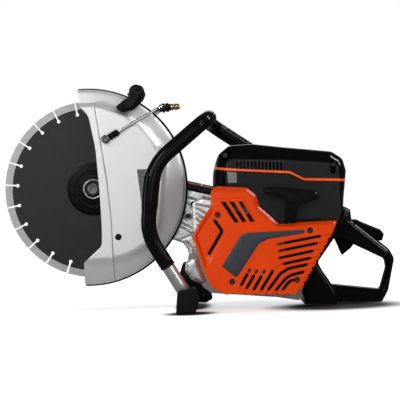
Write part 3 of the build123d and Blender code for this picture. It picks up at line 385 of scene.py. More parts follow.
def clipped(guides, outer, holes=(), clear=0.15):
    """The parts of guide lines inside an outline, farther from it than a clearance."""
    out = []
    for guide in guides:
        keep = filled(guide, [outer], holes) & (distance(guide, outer) > clear)
        run = []
        for p, ok in list(zip(guide, keep)) + [(None, False)]:
            if ok:
                run.append(p)
                continue
            if len(run) > 1:
                out.append(np.array(run))
            run = []
    return out


def relief(points, steps):
    """Height of the raised and sunk areas at each point."""
    out = np.zeros(len(points))
    for loop, height, ramp in steps:
        out += height * np.clip(signed(points, as_loop(loop)) / ramp, 0, 1)
    return out


def plate(outer, y_near, y_far, holes=(), edge=0.8, steps=(), spacing=6.0, far_edge=None):
    """Solid plate with rounded edges and raised or sunk areas on its near side.

    Each step is (loop, height, ramp): inside the loop the near face stands out by the height,
    over a ramp of that width that starts at the loop and goes inward. A plate whose y_near is
    the greater faces the belt side.
    """
    way = 1.0 if y_far > y_near else -1.0
    holes = [dense(h, 5) for h in holes]
    outer = dense(as_loop(outer), 5)
    guides = step_guides(steps) + edge_rings(outer, edge)
    for hole in holes:
        guides += edge_rings(hole, edge, way=-1)
    points, faces = flat_mesh([outer], holes, guides, spacing)
    d = nearest_edge(points, [outer] + holes)
    near = float(y_near) - way * relief(points, steps) + way * roll(d, edge)
    far = float(y_far) - way * roll(d, edge * 0.5 if far_edge is None else far_edge)
    return lens_rows(points, faces, near, far)


def pillow(outer, y_mid, half, edge, spacing=5.0, shift=None):
    """Rounded solid of one outline: full half thickness beyond an edge radius."""
    outer = dense(as_loop(outer), 4)
    points, faces = flat_mesh([outer], (), edge_rings(outer, edge, 6), spacing)
    u = 1 - np.clip(distance(points, outer) / edge, 0, 1)
    thick = half * np.sqrt(np.maximum(0, 1 - u * u))
    mid = np.full(len(points), float(y_mid)) + (shift(points) if shift else 0.0)
    return lens_rows(points, faces, mid - thick, mid + thick)


def ring_faces(rings, count):
    """Faces between rings of vertices that follow one another, and over both ends."""
    polys = []
    for i in range(rings - 1):
        for k in range(count):
            n = (k + 1) % count
            polys.append((i * count + k, i * count + n, (i + 1) * count + n, (i + 1) * count + k))
    last = (rings - 1) * count
    return polys + [tuple(range(count))[::-1], tuple(last + k for k in range(count))]


def lathe(centre, profile, count=96, arc=None, closed=True, dent=None):
    """Surface of revolution about Y at an (x, z) centre from (radius, y) points.

    An arc is given in degrees; dent(k, i) scales the radius of profile point i at turn k.
    """
    profile = np.array(profile, float)
    first, last = (math.radians(a) for a in arc or (0, 360))
    turns = count + 1 if arc else count
    verts, polys = [], []
    for k in range(turns):
        turn = first + (last - first) * k / count
        for i, (r, y) in enumerate(profile):
            size = r * dent(k, i) if dent else r
            verts.append((centre[0] + size * math.cos(turn), y, centre[1] + size * math.sin(turn)))
    rows = len(profile)
    for k in range(count):
        nxt = (k + 1) % turns
        for i in range(rows if closed else rows - 1):
            j = (i + 1) % rows
            polys.append((k * rows + i, k * rows + j, nxt * rows + j, nxt * rows + i))
    if arc:
        polys += [tuple(range(rows)), tuple(count * rows + i for i in range(rows))[::-1]]
    return verts, polys


def eased(profile, radius=0.6, count=3):
    """Closed (radius, y) profile with its corners rounded."""
    with_radius = [(p[0], p[1], p[2] if len(p) > 2 else radius) for p in profile]
    loop = []
    total = len(with_radius)
    for i, (r, y, ease) in enumerate(with_radius):
        here = np.array([r, y], float)
        back = np.array(with_radius[i - 1][:2], float) - here
        ahead = np.array(with_radius[(i + 1) % total][:2], float) - here
        cut = min(ease, np.linalg.norm(back) * 0.45, np.linalg.norm(ahead) * 0.45)
        a = here + back / np.linalg.norm(back) * cut
        b = here + ahead / np.linalg.norm(ahead) * cut
        if cut < 0.02:
            loop.append(here)
            continue
        for k in range(count + 1):
            t = k / count
            loop.append((1 - t) ** 2 * a + 2 * t * (1 - t) * here + t * t * b)
    return [(max(0.0, p[0]), p[1]) for p in loop]


def standing(profile, y, way=1):
    """Profile of (radius, height over a wall) points, for a wall at y that faces the given way."""
    return [(r, y + way * h, *ease) for r, h, *ease in profile]


def lathe_along(start, way, profile, count=32):
    """Surface of revolution about any axis from (distance along, radius) points, closed at both ends."""
    start, way = Vector(start), Vector(way).normalized()
    side = way.orthogonal().normalized()
    up = way.cross(side)
    verts = []
    for along, radius in profile:
        for k in range(count):
            turn = 2 * math.pi * k / count
            verts.append(tuple(start + way * along + (side * math.cos(turn) + up * math.sin(turn)) * radius))
    return verts, ring_faces(len(profile), count)


def route(points, radii, step=4.0):
    """Centre line of straight runs joined by arcs, with its rows no farther apart than two steps."""
    pts = [Vector(p) for p in points]
    line = [pts[0]]
    for i in range(1, len(pts) - 1):
        back = (pts[i - 1] - pts[i]).normalized()
        ahead = (pts[i + 1] - pts[i]).normalized()
        half = back.angle(ahead) / 2
        radius = radii[i - 1]
        reach = radius / math.tan(half)
        centre = pts[i] + (back + ahead).normalized() * radius / math.sin(half)
        a = pts[i] + back * reach - centre
        b = pts[i] + ahead * reach - centre
        sweep = a.angle(b)
        count = max(3, math.ceil(sweep * radius / step))
        for k in range(count + 1):
            t = k / count
            arm_a, arm_b = a * math.sin((1 - t) * sweep), b * math.sin(t * sweep)
            line.append(centre + (arm_a / math.sin(sweep) + arm_b / math.sin(sweep)))
    line.append(pts[-1])
    out = [line[0]]
    for a, b in zip(line, line[1:]):
        gap = (b - a).length
        if gap < 0.01:
            continue
        pieces = max(1, math.ceil(gap / (step * 2)))
        for k in range(1, pieces + 1):
            out.append(a + (b - a) * k / pieces)
    return out


def tube(line, section, grow=None):
    """Sweep of a section along a centre line, with frames carried along it.

    The section is a list of (angle in degrees, radius); grow(s) scales it at a distance s.
    """
    ways = []
    for i in range(len(line)):
        ways.append((line[min(i + 1, len(line) - 1)] - line[max(i - 1, 0)]).normalized())
    side = ways[0].orthogonal().normalized()
    verts = []
    travelled = 0.0
    for i, (p, way) in enumerate(zip(line, ways)):
        if i:
            travelled += (p - line[i - 1]).length
            side = (side - way * side.dot(way)).normalized()
        up = way.cross(side)
        scale = grow(travelled) if grow else 1.0
        for angle, radius in section:
            turn = math.radians(angle)
            verts.append(tuple(p + (side * math.cos(turn) + up * math.sin(turn)) * radius * scale))
    return verts, ring_faces(len(line), len(section))


def hexagon(turn):
    """Radius of a hexagon at an angle, as a share of its corner radius."""
    return math.cos(math.pi / 6) / math.cos(turn % (math.pi / 3) - math.pi / 6)


def socket_screw(centre, y, way, radius=4.2, height=4.0, socket=2.4, depth=2.2):
    """Socket-head screw along Y with a knurled, rounded head; its seat is at y."""
    top = y + way * height
    ease = radius * 0.14
    rows = [(radius * 0.97, y), (radius, y + way * 0.3), (radius, top - way * ease * 1.6),
            (radius - ease * 0.4, top - way * ease * 0.5), (radius - ease * 1.2, top),
            (socket * 1.12, top), (socket, top - way * 0.25), (socket, top - way * depth)]
    knurled, hexed, count = (1, 2), (6, 7), 36
    verts = []
    for i, (r, h) in enumerate(rows):
        for k in range(count):
            turn = 2 * math.pi * k / count
            size = r * 0.965 if i in knurled and k % 2 else r
            if i in hexed:
                size = r * hexagon(turn)
            verts.append((centre[0] + size * math.cos(turn), h, centre[1] + size * math.sin(turn)))
    return verts, ring_faces(len(rows), count)


def hex_head(centre, y, way, radius, height):
    """Hexagon nut or bolt head along Y, with its corners turned down."""
    top = y + way * height
    cut = radius * 0.12
    rows = [(1.0, y), (1.0, top - way * cut), (0.93, top - way * cut * 0.15), (0.86, top)]
    verts, count = [], 48
    for scale, h in rows:
        for k in range(count):
            turn = 2 * math.pi * k / count
            size = min(radius * hexagon(turn), radius * scale * 0.99)
            verts.append((centre[0] + size * math.cos(turn), h, centre[1] + size * math.sin(turn)))
    return verts, ring_faces(len(rows), count)


# ---------------------------------------------------------------- materials
BUMP_DEPTH = 0.0004


def feed(tree, made, inputs):
    """Set a node's inputs: a socket is linked, anything else is a constant."""
    for key, value in inputs.items():
        if isinstance(value, bpy.types.NodeSocket):
            tree.links.new(value, made.inputs[key])
        else:
            made.inputs[key].default_value = value


def node(tree, kind, inputs, out=0, **settings):
    """Output of a new shader node."""
    made = tree.nodes.new("ShaderNode" + kind)
    for key, value in settings.items():
        setattr(made, key, value)
    feed(tree, made, inputs)
    return made.outputs[out]


def ranged(tree, value, low, high, first=0.25, last=0.75, **settings):
    """A value carried from one range to another."""
    ends = {"From Min": first, "From Max": last, "To Min": low, "To Max": high}
    return node(tree, "MapRange", {"Value": value, **ends}, "Result", **settings)


def times(tree, a, b):
    return node(tree, "Math", {0: a, 1: b}, operation="MULTIPLY")


def material(name, colour, rough=0.4, metal=0.0, grain=0.0, grain_scale=1800.0, mottle=0.1, mottle_scale=45.0,
             rough_vary=0.06, coat=0.0, specular=0.5, wear=None, stretch=(1, 1, 1), waves=None, sheen=0.0):
    """Procedural finish: mottled colour, uneven roughness, fine grain, and wear on edges.

    wear is (colour, amount); waves is (lines per metre, strength) for marks turned about the spindle.
    """
    made = bpy.data.materials.new(name)
    made.use_nodes = True
    tree = made.node_tree
    place = node(tree, "TexCoord", {}, "Object")
    spread = node(tree, "Mapping", {"Vector": place, "Scale": stretch})

    def noise(scale, detail=3.0):
        return node(tree, "TexNoise", {"Scale": scale, "Detail": detail, "Vector": spread}, "Fac")

    def mixed(a, b, factor):
        return node(tree, "Mix", {"A": a, "B": b, "Factor": factor}, "Result", data_type="RGBA")

    dark = tuple(c * (1 - mottle) for c in colour) + (1,)
    pale = tuple(min(1.0, c * (1 + mottle)) for c in colour) + (1,)
    tint = mixed(dark, pale, ranged(tree, noise(mottle_scale), 0.0, 1.0))
    if wear:
        edge = ranged(tree, node(tree, "NewGeometry", {}, "Pointiness"), 0.0, wear[1], 0.53, 0.62)
        patchy = times(tree, edge, ranged(tree, noise(mottle_scale * 6), 0.2, 1.0))
        tint = mixed(tint, tuple(wear[0]) + (1,), patchy)
    shader = {
        "Base Color": tint, "Metallic": metal, "Coat Weight": coat, "Coat Roughness": 0.12,
        "Specular IOR Level": specular, "Sheen Weight": sheen,
        "Roughness": ranged(tree, noise(mottle_scale * 3), rough - rough_vary, rough + rough_vary),
    }
    if grain:
        bumps = {"Strength": grain, "Distance": BUMP_DEPTH, "Height": noise(grain_scale, 2.0)}
        shader["Normal"] = node(tree, "Bump", bumps, "Normal")
    if waves:
        away = node(tree, "VectorMath", {0: place, 1: (SPINDLE[0] * MM, 0, SPINDLE[1] * MM)},
                    operation="SUBTRACT")
        flat = node(tree, "VectorMath", {0: away, 1: (1, 0, 1)}, operation="MULTIPLY")
        reach = node(tree, "VectorMath", {0: flat}, "Value", operation="LENGTH")
        marks = {"Scale": waves[0], "Detail": 3.0, "W": reach}
        marks = node(tree, "TexNoise", marks, "Fac", noise_dimensions="1D")
        bumps = {"Strength": waves[1], "Distance": BUMP_DEPTH, "Height": marks}
        if grain:
            bumps["Normal"] = shader["Normal"]
        shader["Normal"] = node(tree, "Bump", bumps, "Normal")
    feed(tree, tree.nodes["Principled BSDF"], shader)
    return made


GUARD_SILVER = material("silver_paint", (0.82, 0.82, 0.83), rough=0.42, metal=0.72, grain=0.10,
    grain_scale=900, mottle=0.015, mottle_scale=20, rough_vary=0.03)
BLADE_CORE = material("blade_core_steel", (0.019, 0.0194, 0.0215), rough=0.42, metal=0.5, grain=0.10,
    mottle=0.10, waves=(1500, 0.10))
SEGMENT = material("sintered_segment", (0.50, 0.50, 0.51), rough=0.55, metal=0.7, grain=0.7,
    grain_scale=1400, mottle=0.22, mottle_scale=300)
FLANGE_STEEL = material("flange_steel", (0.004, 0.004, 0.0045), rough=0.24, metal=0.3, specular=0.15,
    grain=0.05, mottle=0.12, waves=(2600, 0.22))
STEEL = material("machined_steel", (0.56, 0.56, 0.58), rough=0.26, metal=1.0, grain=0.06, mottle=0.05,
    wear=((0.8, 0.8, 0.82), 0.6), waves=(3200, 0.10))
BOLT_BRIGHT = material("bolt_steel", (0.13, 0.13, 0.135), rough=0.26, metal=0.9, grain=0.08, mottle=0.08)
DARK_STEEL = material("dark_steel", (0.06, 0.06, 0.065), rough=0.38, metal=0.8, grain=0.12, mottle=0.15,
    wear=((0.35, 0.35, 0.37), 0.5))
SCREW_BLACK = material("blacked_screw", (0.03, 0.03, 0.032), rough=0.36, metal=0.6, grain=0.10, mottle=0.15,
    wear=((0.25, 0.25, 0.27), 0.4))
# Cast engine metal: its own grey, made darker as painted shade for the parts under the engine.
CAST_SHADE_DARKENED = material("cast_magnesium_shade_darkened", (0.20, 0.20, 0.195), rough=0.46, metal=0.75, grain=0.55, grain_scale=1100,
    mottle=0.12, mottle_scale=60, rough_vary=0.10, wear=((0.7, 0.7, 0.7), 0.4))
CAST_BRIGHT = material("polished_casting", (0.74, 0.74, 0.74), rough=0.29, metal=0.9, grain=0.05,
    grain_scale=400, mottle=0.34, mottle_scale=36, rough_vary=0.08, stretch=(1.0, 1.0, 2.6))
TUBE = material("tube_steel", (0.78, 0.775, 0.77), rough=0.36, metal=0.90, grain=0.02, mottle=0.05,
    mottle_scale=70, rough_vary=0.04)
ORANGE = material("orange_plastic", (0.66, 0.048, 0.0012), rough=0.22, grain=0.05, grain_scale=2400,
    mottle=0.03, mottle_scale=30, rough_vary=0.03, specular=0.12)
ORANGE_TRIM = material("orange_trim", (0.86, 0.10, 0.006), rough=0.25, grain=0.03, mottle=0.03, coat=0.4)
BLACK = material("black_plastic", (0.0030, 0.0030, 0.0034), rough=0.15, mottle=0.15, rough_vary=0.03,
    specular=0.10, wear=((0.012, 0.012, 0.013), 0.4))
GRIP_BLACK = material("grip_black_plastic", (0.0028, 0.0028, 0.0032), rough=0.10, mottle=0.15,
    rough_vary=0.02, specular=0.20)
BLACK_GLOSS = material("gloss_black_plastic", (0.0025, 0.0025, 0.003), rough=0.14, mottle=0.12,
    rough_vary=0.04, specular=0.12)
SLEEVE = material("handle_rubber", (0.0028, 0.0028, 0.0032), rough=0.15, mottle=0.15, rough_vary=0.03,
    specular=0.16)
PULL_GREY = material("pull_handle_plastic", (0.0035, 0.0035, 0.004), rough=0.20, mottle=0.10,
    rough_vary=0.04, specular=0.22)
DARK_GREY = material("textured_dark_plastic", (0.0085, 0.0090, 0.0098), rough=0.38, specular=0.22,
    grain=0.55, grain_scale=1500, mottle=0.07, rough_vary=0.05, wear=((0.08, 0.08, 0.085), 0.5))
RUBBER = material("black_rubber", (0.004, 0.004, 0.004), rough=0.55, grain=0.20, grain_scale=1500,
    mottle=0.15, specular=0.14, sheen=0.02)
BADGE_FINISH = material("badge_film", (0.024, 0.029, 0.036), rough=0.34, grain=0.10, grain_scale=2600,
    mottle=0.06)
LABEL_FINISH = material("label_film", (0.085, 0.088, 0.092), rough=0.42, grain=0.35, grain_scale=1300,
    mottle=0.16, mottle_scale=260)
COVER_LABEL = material("cover_label_film", (0.16, 0.165, 0.17), rough=0.45, grain=0.3, grain_scale=1500,
    mottle=0.25, mottle_scale=420)
BRASS = material("brass", (0.62, 0.40, 0.19), rough=0.30, metal=1.0, grain=0.08, mottle=0.10,
    wear=((0.85, 0.65, 0.4), 0.5))
CHROME = material("bright_pipe", (0.72, 0.72, 0.73), rough=0.13, metal=1.0, grain=0.04, mottle=0.04)
BELT = material("ribbed_belt", (0.018, 0.018, 0.018), rough=0.66, grain=0.4, mottle=0.2, specular=0.3)
PAPER = material("filter_paper", (0.55, 0.47, 0.33), rough=0.85, grain=0.6, grain_scale=700, mottle=0.12)
ROPE = material("rope_fibre", (0.10, 0.10, 0.095), rough=0.8, grain=1.0, grain_scale=1800, mottle=0.35,
    mottle_scale=900, sheen=0.2)
SWITCH_GREY = material("switch_cap", (0.03, 0.031, 0.033), rough=0.36, grain=0.1, mottle=0.06)


# ---------------------------------------------------------------- studio
def studio():
    """Camera, lights, and a floor with a painted glow and painted contact shadows that passes unseen into the
    backdrop.
    """
    camera_data = bpy.data.cameras.new("camera")
    camera_data.lens = 108.7
    camera_data.sensor_width = 36.0
    camera_data.sensor_fit = "HORIZONTAL"
    camera_data.clip_end = 60.0
    camera = bpy.data.objects.new("camera", camera_data)
    camera.location = (0.0073, -2.342, 0.2106)
    camera.rotation_euler = (math.radians(90), math.radians(2.12), 0)
    SCENE.collection.objects.link(camera)
    SCENE.camera = camera
    SCENE.view_settings.view_transform = "Standard"
    SCENE.view_settings.look = "None"

    SCENE.world = bpy.data.worlds.new("studio")
    SCENE.world.use_nodes = True
    tree = SCENE.world.node_tree
    sky = tree.nodes["Background"]
    feed(tree, sky, {"Strength": 0.10, "Color": (1, 1, 1, 1)})
    backdrop = node(tree, "Background", {"Strength": 1.0, "Color": (1, 1, 1, 1)})
    seen = node(tree, "LightPath", {}, "Is Camera Ray")
    choose = node(tree, "MixShader", {0: seen, 1: sky.outputs[0], 2: backdrop})
    feed(tree, tree.nodes["World Output"], {"Surface": choose})

    light("front_box", (-0.55, -3.1, 0.90), (-0.05, 0, 0.24), 1.5, 1.8, 13.5)
    light("front_soft", (-0.9, -2.6, 1.1), (0.0, 0, 0.2), 1.4, 1.2, 21, mirrored=False)
    light("above", (0.0, 0.0, 2.2), (0, 0, 0.0), 1.2, 1.2, 18, mirrored=False)
    light("key", (-1.15, -1.6, 1.25), (-0.05, 0, 0.24), 0.12, 1.1, 10, lighting=False)
    light("right_strip", (1.75, -0.05, 1.7), (0.3, 0, 0.15), 0.18, 1.3, 32, lighting=False)
    light("right_front", (1.35, -1.5, 0.9), (0.05, 0, 0.2), 0.08, 1.1, 11, lighting=False)
    light("edge_left", (-1.7, -0.5, 0.5), (-0.05, -0.1, 0.2), 0.25, 1.2, 4)
    light("back", (0.3, 2.2, 1.6), (0, 0, 0.2), 1.6, 0.9, 9)

    squares = 12
    corners = [FLOOR_HALF * (2 * i / squares - 1) for i in range(squares + 1)]
    starts = [i * (squares + 1) + j for i in range(squares) for j in range(squares)]
    mesh = bpy.data.meshes.new("floor")
    mesh.from_pydata([(x, y, 0) for x in corners for y in corners], [],
                     [(a, a + squares + 1, a + squares + 2, a + 1) for a in starts])
    paint = material("floor_paint_with_painted_shadow", (0.86, 0.86, 0.86), rough=0.8, mottle=0.004, specular=0.2)
    floor_painted_glow_and_shadow(paint.node_tree)
    mesh.materials.append(paint)
    floor = bpy.data.objects.new("floor", mesh)
    SCENE.collection.objects.link(floor)
    floor.visible_glossy = False


# Painted contact shadows on the floor where the saw stands: middle and reach, in metres.
PAINTED_SHADOW_SPOTS = [
    ((0.262, -0.045), (0.110, 0.075)), ((-0.018, -0.095), (0.042, 0.035)), ((-0.012, 0.06), (0.030, 0.08)),
]
FLOOR_HALF = 6.0


def floor_painted_glow_and_shadow(tree):
    """Floor paint with a painted glow that grows the farther it is from the saw, and painted contact shadows,
    dark and without glow, where the saw stands.
    """
    place = node(tree, "TexCoord", {}, "Object")
    reach = node(tree, "VectorMath", {0: place}, "Value", operation="LENGTH")
    painted_glow = ranged(tree, reach, 0.62, 1.0, 0.45, 1.1, interpolation_type="SMOOTHSTEP")
    # Painted contact shadows: in each pool the glow fades out and the base colour darkens.
    shadow_pools = []
    for centre, size in PAINTED_SHADOW_SPOTS:
        shifted = node(tree, "VectorMath", {0: place, 1: (*centre, 0)}, operation="SUBTRACT")
        scaled = node(tree, "VectorMath", {0: shifted, 1: (*size, 1)}, operation="DIVIDE")
        away = node(tree, "VectorMath", {0: scaled}, "Value", operation="LENGTH")
        shadow_pools.append(ranged(tree, away, 0.0, 1.0, 0.7, 1.5, interpolation_type="SMOOTHSTEP"))
    clear = shadow_pools[0]
    for shadow_pool in shadow_pools[1:]:
        clear = times(tree, clear, shadow_pool)
    feed(tree, tree.nodes["Principled BSDF"], {
        "Emission Color": (1, 1, 1, 1), "Emission Strength": times(tree, painted_glow, clear),
        "Base Color": ranged(tree, clear, 0.10, 0.86, 0.0, 1.0)})


def light(name, place, aim, width, height, power, mirrored=True, lighting=True):
    data = bpy.data.lights.new(name, "AREA")
    data.shape = "RECTANGLE"
    data.size = width
    data.size_y = height
    data.energy = power
    lamp = bpy.data.objects.new(name, data)
    lamp.location = place
    lamp.rotation_euler = (Vector(aim) - Vector(place)).to_track_quat("-Z", "Y").to_euler()
    lamp.visible_glossy = mirrored
    lamp.visible_diffuse = lighting
    SCENE.collection.objects.link(lamp)


# ---------------------------------------------------------------- finishes of the CAD pieces that stay
CAD_FINISH = [
    (STEEL, "ball_bearings recoil_spring handle_pins spindle_shaft spindle_pulley_and_nut crankshaft "
        "clutch_drum_and_pulley piston throttle_lever"),
    (CAST_SHADE_DARKENED, "cutting_arm crankcase_left_half crankcase_right_half cylinder muffler_and_heat_shield "
        "carburettor flywheel_fan"),
    (BELT, "drive_belt"),
    (DARK_GREY, "belt_guard engine_cover_lower"),
    (BLACK, "clutch_cover ignition_coil air_box front_feet rear_handle_and_tank guard_lever "
        "water_fittings starter_spool throttle_trigger throttle_lockout choke_knob decompression_button "
        "fuel_cap"),
    (SCREW_BLACK, "belt_side_bolts housing_screws"),
    (ORANGE_TRIM, "orange_trim_strips"),
    (RUBBER, "spark_plug_and_lead vibration_mounts guard_rubber_seal_and_plug"),
    (PAPER, "air_filter"),
    (BLACK_GLOSS, "engine_cover_upper starter_handle"),
    (ORANGE, "starter_housing"),
    (BADGE_FINISH, "starter_badge"),
    (ROPE, "starter_rope"),
    (TUBE, "front_handle_tube"),
    (SLEEVE, "front_handle_grip"),
    (DARK_STEEL, "lower_bracket handle_clamp centrifugal_clutch"),
    (BLADE_CORE, "blade_core"),
    (SEGMENT, "blade_segments"),
    (FLANGE_STEEL, "blade_flanges"),
    (BOLT_BRIGHT, "blade_bolt_and_washer"),
    (GUARD_SILVER, "guard_front_section guard_near_shell guard_far_shell"),
    (LABEL_FINISH, "guard_label_plate"),
    (CHROME, "water_pipes"),
    (BRASS, "water_inlet_nipple"),
    (SWITCH_GREY, "stop_switch"),
]


def paint_cad():
    for finish, names in CAD_FINISH:
        for name in names.split():
            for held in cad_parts[name].material_slots:
                held.link = "OBJECT"
                held.material = finish


# ---------------------------------------------------------------- blade guard
GUARD_OPEN = [
    (-228, 470), (-225, 406, 10), (-205, 382, 30), (-194, 320, 200), (-189, 240, 300), (-187, 160, 60),
    (-188, 128, 16), (-225, 95, 4), (-226, 20), (40, 20), (40, 470),
]
PLATEAU = [
    (-300, 411), (-195, 411, 30), (-172, 406, 60), (-133, 390, 60), (-93, 362, 60), (-66, 326, 40),
    (-54, 284, 60), (-63, 214, 200), (-68, 160, 50), (-94, 120, 60), (-134, 100, 60), (-170, 92, 60),
    (-300, 92),
]
SEAM_TOP = 408.5
SEAM = [(-194, 409), (-183, 326), (-174, 257), (-168, 178), (-166, 30)]
GUARD_SHEET = 2.5
GUARD_RIM_Y = 37.0
GUARD_FAR_Y = 82.4
PLATEAU_Y = 22.0
PLUG_AT = (-155.0, 144.0)
WATER_PORT = (-173.0, 336.0)
LABEL = [(-114, 275, 2), (-78, 275, 2), (-80, 204, 2), (-107, 204, 2)]


def to_rim(points, centre=GUARD_CENTRE, radius=GUARD_R):
    """Distance from each point out to a circle."""
    return radius - np.hypot(points[:, 0] - centre[0], points[:, 1] - centre[1])


def guard_depth(points):
    """Depth of the pressed guard: a bright plateau that falls to a sloping rim band."""
    rim = to_rim(points)
    top = signed(points, dense(rounded(PLATEAU)))
    band = GUARD_RIM_Y + 2.0 - 10.0 * np.clip(rim / 45.0, 0, 1)
    blend = smooth(top / 11.0)
    return band + (PLATEAU_Y - band) * blend + roll(rim, 6.0)


def guard_sheet(inside, holes, cut_holes=()):
    """Near wall of the guard over one region, with a turned-in lip along its open edges."""
    circle_loop = circle(GUARD_CENTRE, GUARD_R, 240)
    outers = [circle_loop] + [dense(loop, 5) for loop in inside]
    guides = edge_rings(circle_loop, 6.0, 5)
    plateau = dense(rounded(PLATEAU))
    for d in (0, 2.5, 5.5, 8.5, 11):
        guides += offset(plateau, d)
    for loop in outers[1:]:
        guides += edge_rings(loop, 1.2) + offset(loop, 3.0) + offset(loop, 3.3)
    for hole in list(holes) + list(cut_holes):
        guides += edge_rings(hole, 0.6, way=-1)
    points, faces = flat_mesh(outers, list(holes) + list(cut_holes), guides, 5.0)
    near = guard_depth(points)
    open_edge = nearest_edge(points, outers[1:] + list(holes))
    near = near + roll(open_edge, 1.2)
    far = guard_depth(points) + GUARD_SHEET + 5.0 * (open_edge < 3.05)
    return lens_rows(points, faces, near, far)


def rim_wall(first, last):
    """Outer wall of the guard round an arc given in degrees."""
    y0, y1 = GUARD_RIM_Y + 5.5, BLADE_Y - 1.0
    profile = [(GUARD_R, y0), (GUARD_R, y1 - 0.5), (GUARD_R - 0.5, y1), (GUARD_R - 2.5, y1),
               (GUARD_R - 2.5, y0)]
    return lathe(GUARD_CENTRE, profile, count=int(abs(last - first) / 1.5), arc=(first, last))


def guard():
    open_loop = rounded(GUARD_OPEN)
    strip = [(-260, SEAM_TOP)] + [(x, min(z, SEAM_TOP)) for x, z in SEAM] + [(-260, 30)]
    strip = tidy_loop(np.array(strip, float))
    seam_width = 0.7
    beyond = strip + np.array([[seam_width, 0.0]]) * (strip[:, :1] > -250)
    beyond[:, 1] += seam_width * (beyond[:, 1] > 400)
    port = circle(WATER_PORT, 4.6, 24)
    plug = circle(PLUG_AT, 4.6, 24)
    front = join_rows([guard_sheet([open_loop, strip], [], []), rim_wall(-94.1, -76.5)])
    piece("guard_front_skin", front, GUARD_SILVER, "guard_front_section", body="guard")
    main = join_rows([guard_sheet([open_loop], [beyond], [port, plug]), rim_wall(-76.0, 94.5)])
    piece("guard_near_skin", main, GUARD_SILVER, "guard_near_shell", body="guard")
    # Rubber edge round the rim, and the plug of the drain hole.
    bead = eased([(GUARD_R - 3.5, 57.1), (GUARD_R + 3.4, 57.1), (GUARD_R + 4.4, 59), (GUARD_R + 3.4, 60.9),
                  (GUARD_R - 3.5, 60.9)], 0.8)
    seal = lathe(GUARD_CENTRE, bead, count=150, arc=(-94.0, 94.4))
    cup = lathe(PLUG_AT, eased([(0, 20.4), (4.4, 20.4, 1.0), (6.4, 21.2, 0.6), (6.4, 22.3), (4.5, 22.6),
                                (4.5, 27), (0, 27)]), 32)
    piece("guard_seal_and_plug", [seal, cup], RUBBER, "guard_rubber_seal_and_plug",
          body="guard")
    inner = [(-110.5, 271.5, 1.5), (-81.5, 271.5, 1.5), (-83.3, 207.5, 1.5), (-103.8, 207.5, 1.5)]
    label = plate(LABEL, 21.0, 22.3, edge=0.4, steps=[(inner, -0.35, 0.5)], spacing=8)
    piece("guard_label", label, LABEL_FINISH, "guard_label_plate", body="guard")
    far_guard()


GUARD_OPEN_FAR = [
    (-228, 470), (-225, 406, 10), (-238, 340, 40), (-262, 280, 30), (-262, 200, 30), (-238, 150, 40),
    (-225, 95, 4), (-226, 20), (40, 20), (40, 470),
]


def far_guard():
    """Belt-side half of the guard: a dished wall with a rounded rim and pressed stiffening ribs."""
    circle_loop = circle(GUARD_CENTRE, GUARD_R, 240)
    open_loop = dense(rounded(GUARD_OPEN_FAR), 5)
    hub = circle(SPINDLE, 35.6, 72)
    port = circle(WATER_PORT, 4.6, 24)
    boss_r = 46
    boss = circle(SPINDLE, boss_r, 96)
    ribs = [slot([turned(SPINDLE, 62, turn), turned(SPINDLE, 150, turn)], 13)
            for turn in (-52, -26, 0, 26, 52)]
    guides = edge_rings(circle_loop, 9.0, 5) + edge_rings(open_loop, 1.2) + edge_rings(hub, 1.0, way=-1)
    guides += offset(open_loop, 3.0) + offset(open_loop, 3.3)
    guides += [ring(boss)] + offset(boss, 1.6) + offset(boss, 2.0)
    guides += step_guides([(rib, 1, 3.0) for rib in ribs])
    points, faces = flat_mesh([circle_loop, open_loop], [hub, port], guides, 6.0)
    rim = to_rim(points)
    open_edge = np.minimum(distance(points, open_loop), distance(points, hub))
    back = GUARD_FAR_Y - roll(rim, 9.0) - roll(open_edge, 1.2) + relief(points,
                                                                        [(rib, 1.5, 3.0) for rib in ribs])
    back += 2.4 * np.clip(to_rim(points, SPINDLE, boss_r) / 1.6, 0, 1)
    inner = GUARD_FAR_Y - roll(rim, 9.0) - GUARD_SHEET - 5.0 * ((open_edge < 3.05) & (rim > 6))
    wall = [(GUARD_R - 2.5, 61), (GUARD_R, 61), (GUARD_R, 73.6), (GUARD_R - 2.5, 73.6)]
    shells = [lens_rows(points, faces, inner, back), lathe(GUARD_CENTRE, wall, count=126, arc=(-94.1, 94.5))]
    piece("guard_far_skin", shells, GUARD_SILVER, "guard_far_shell", body="guard")


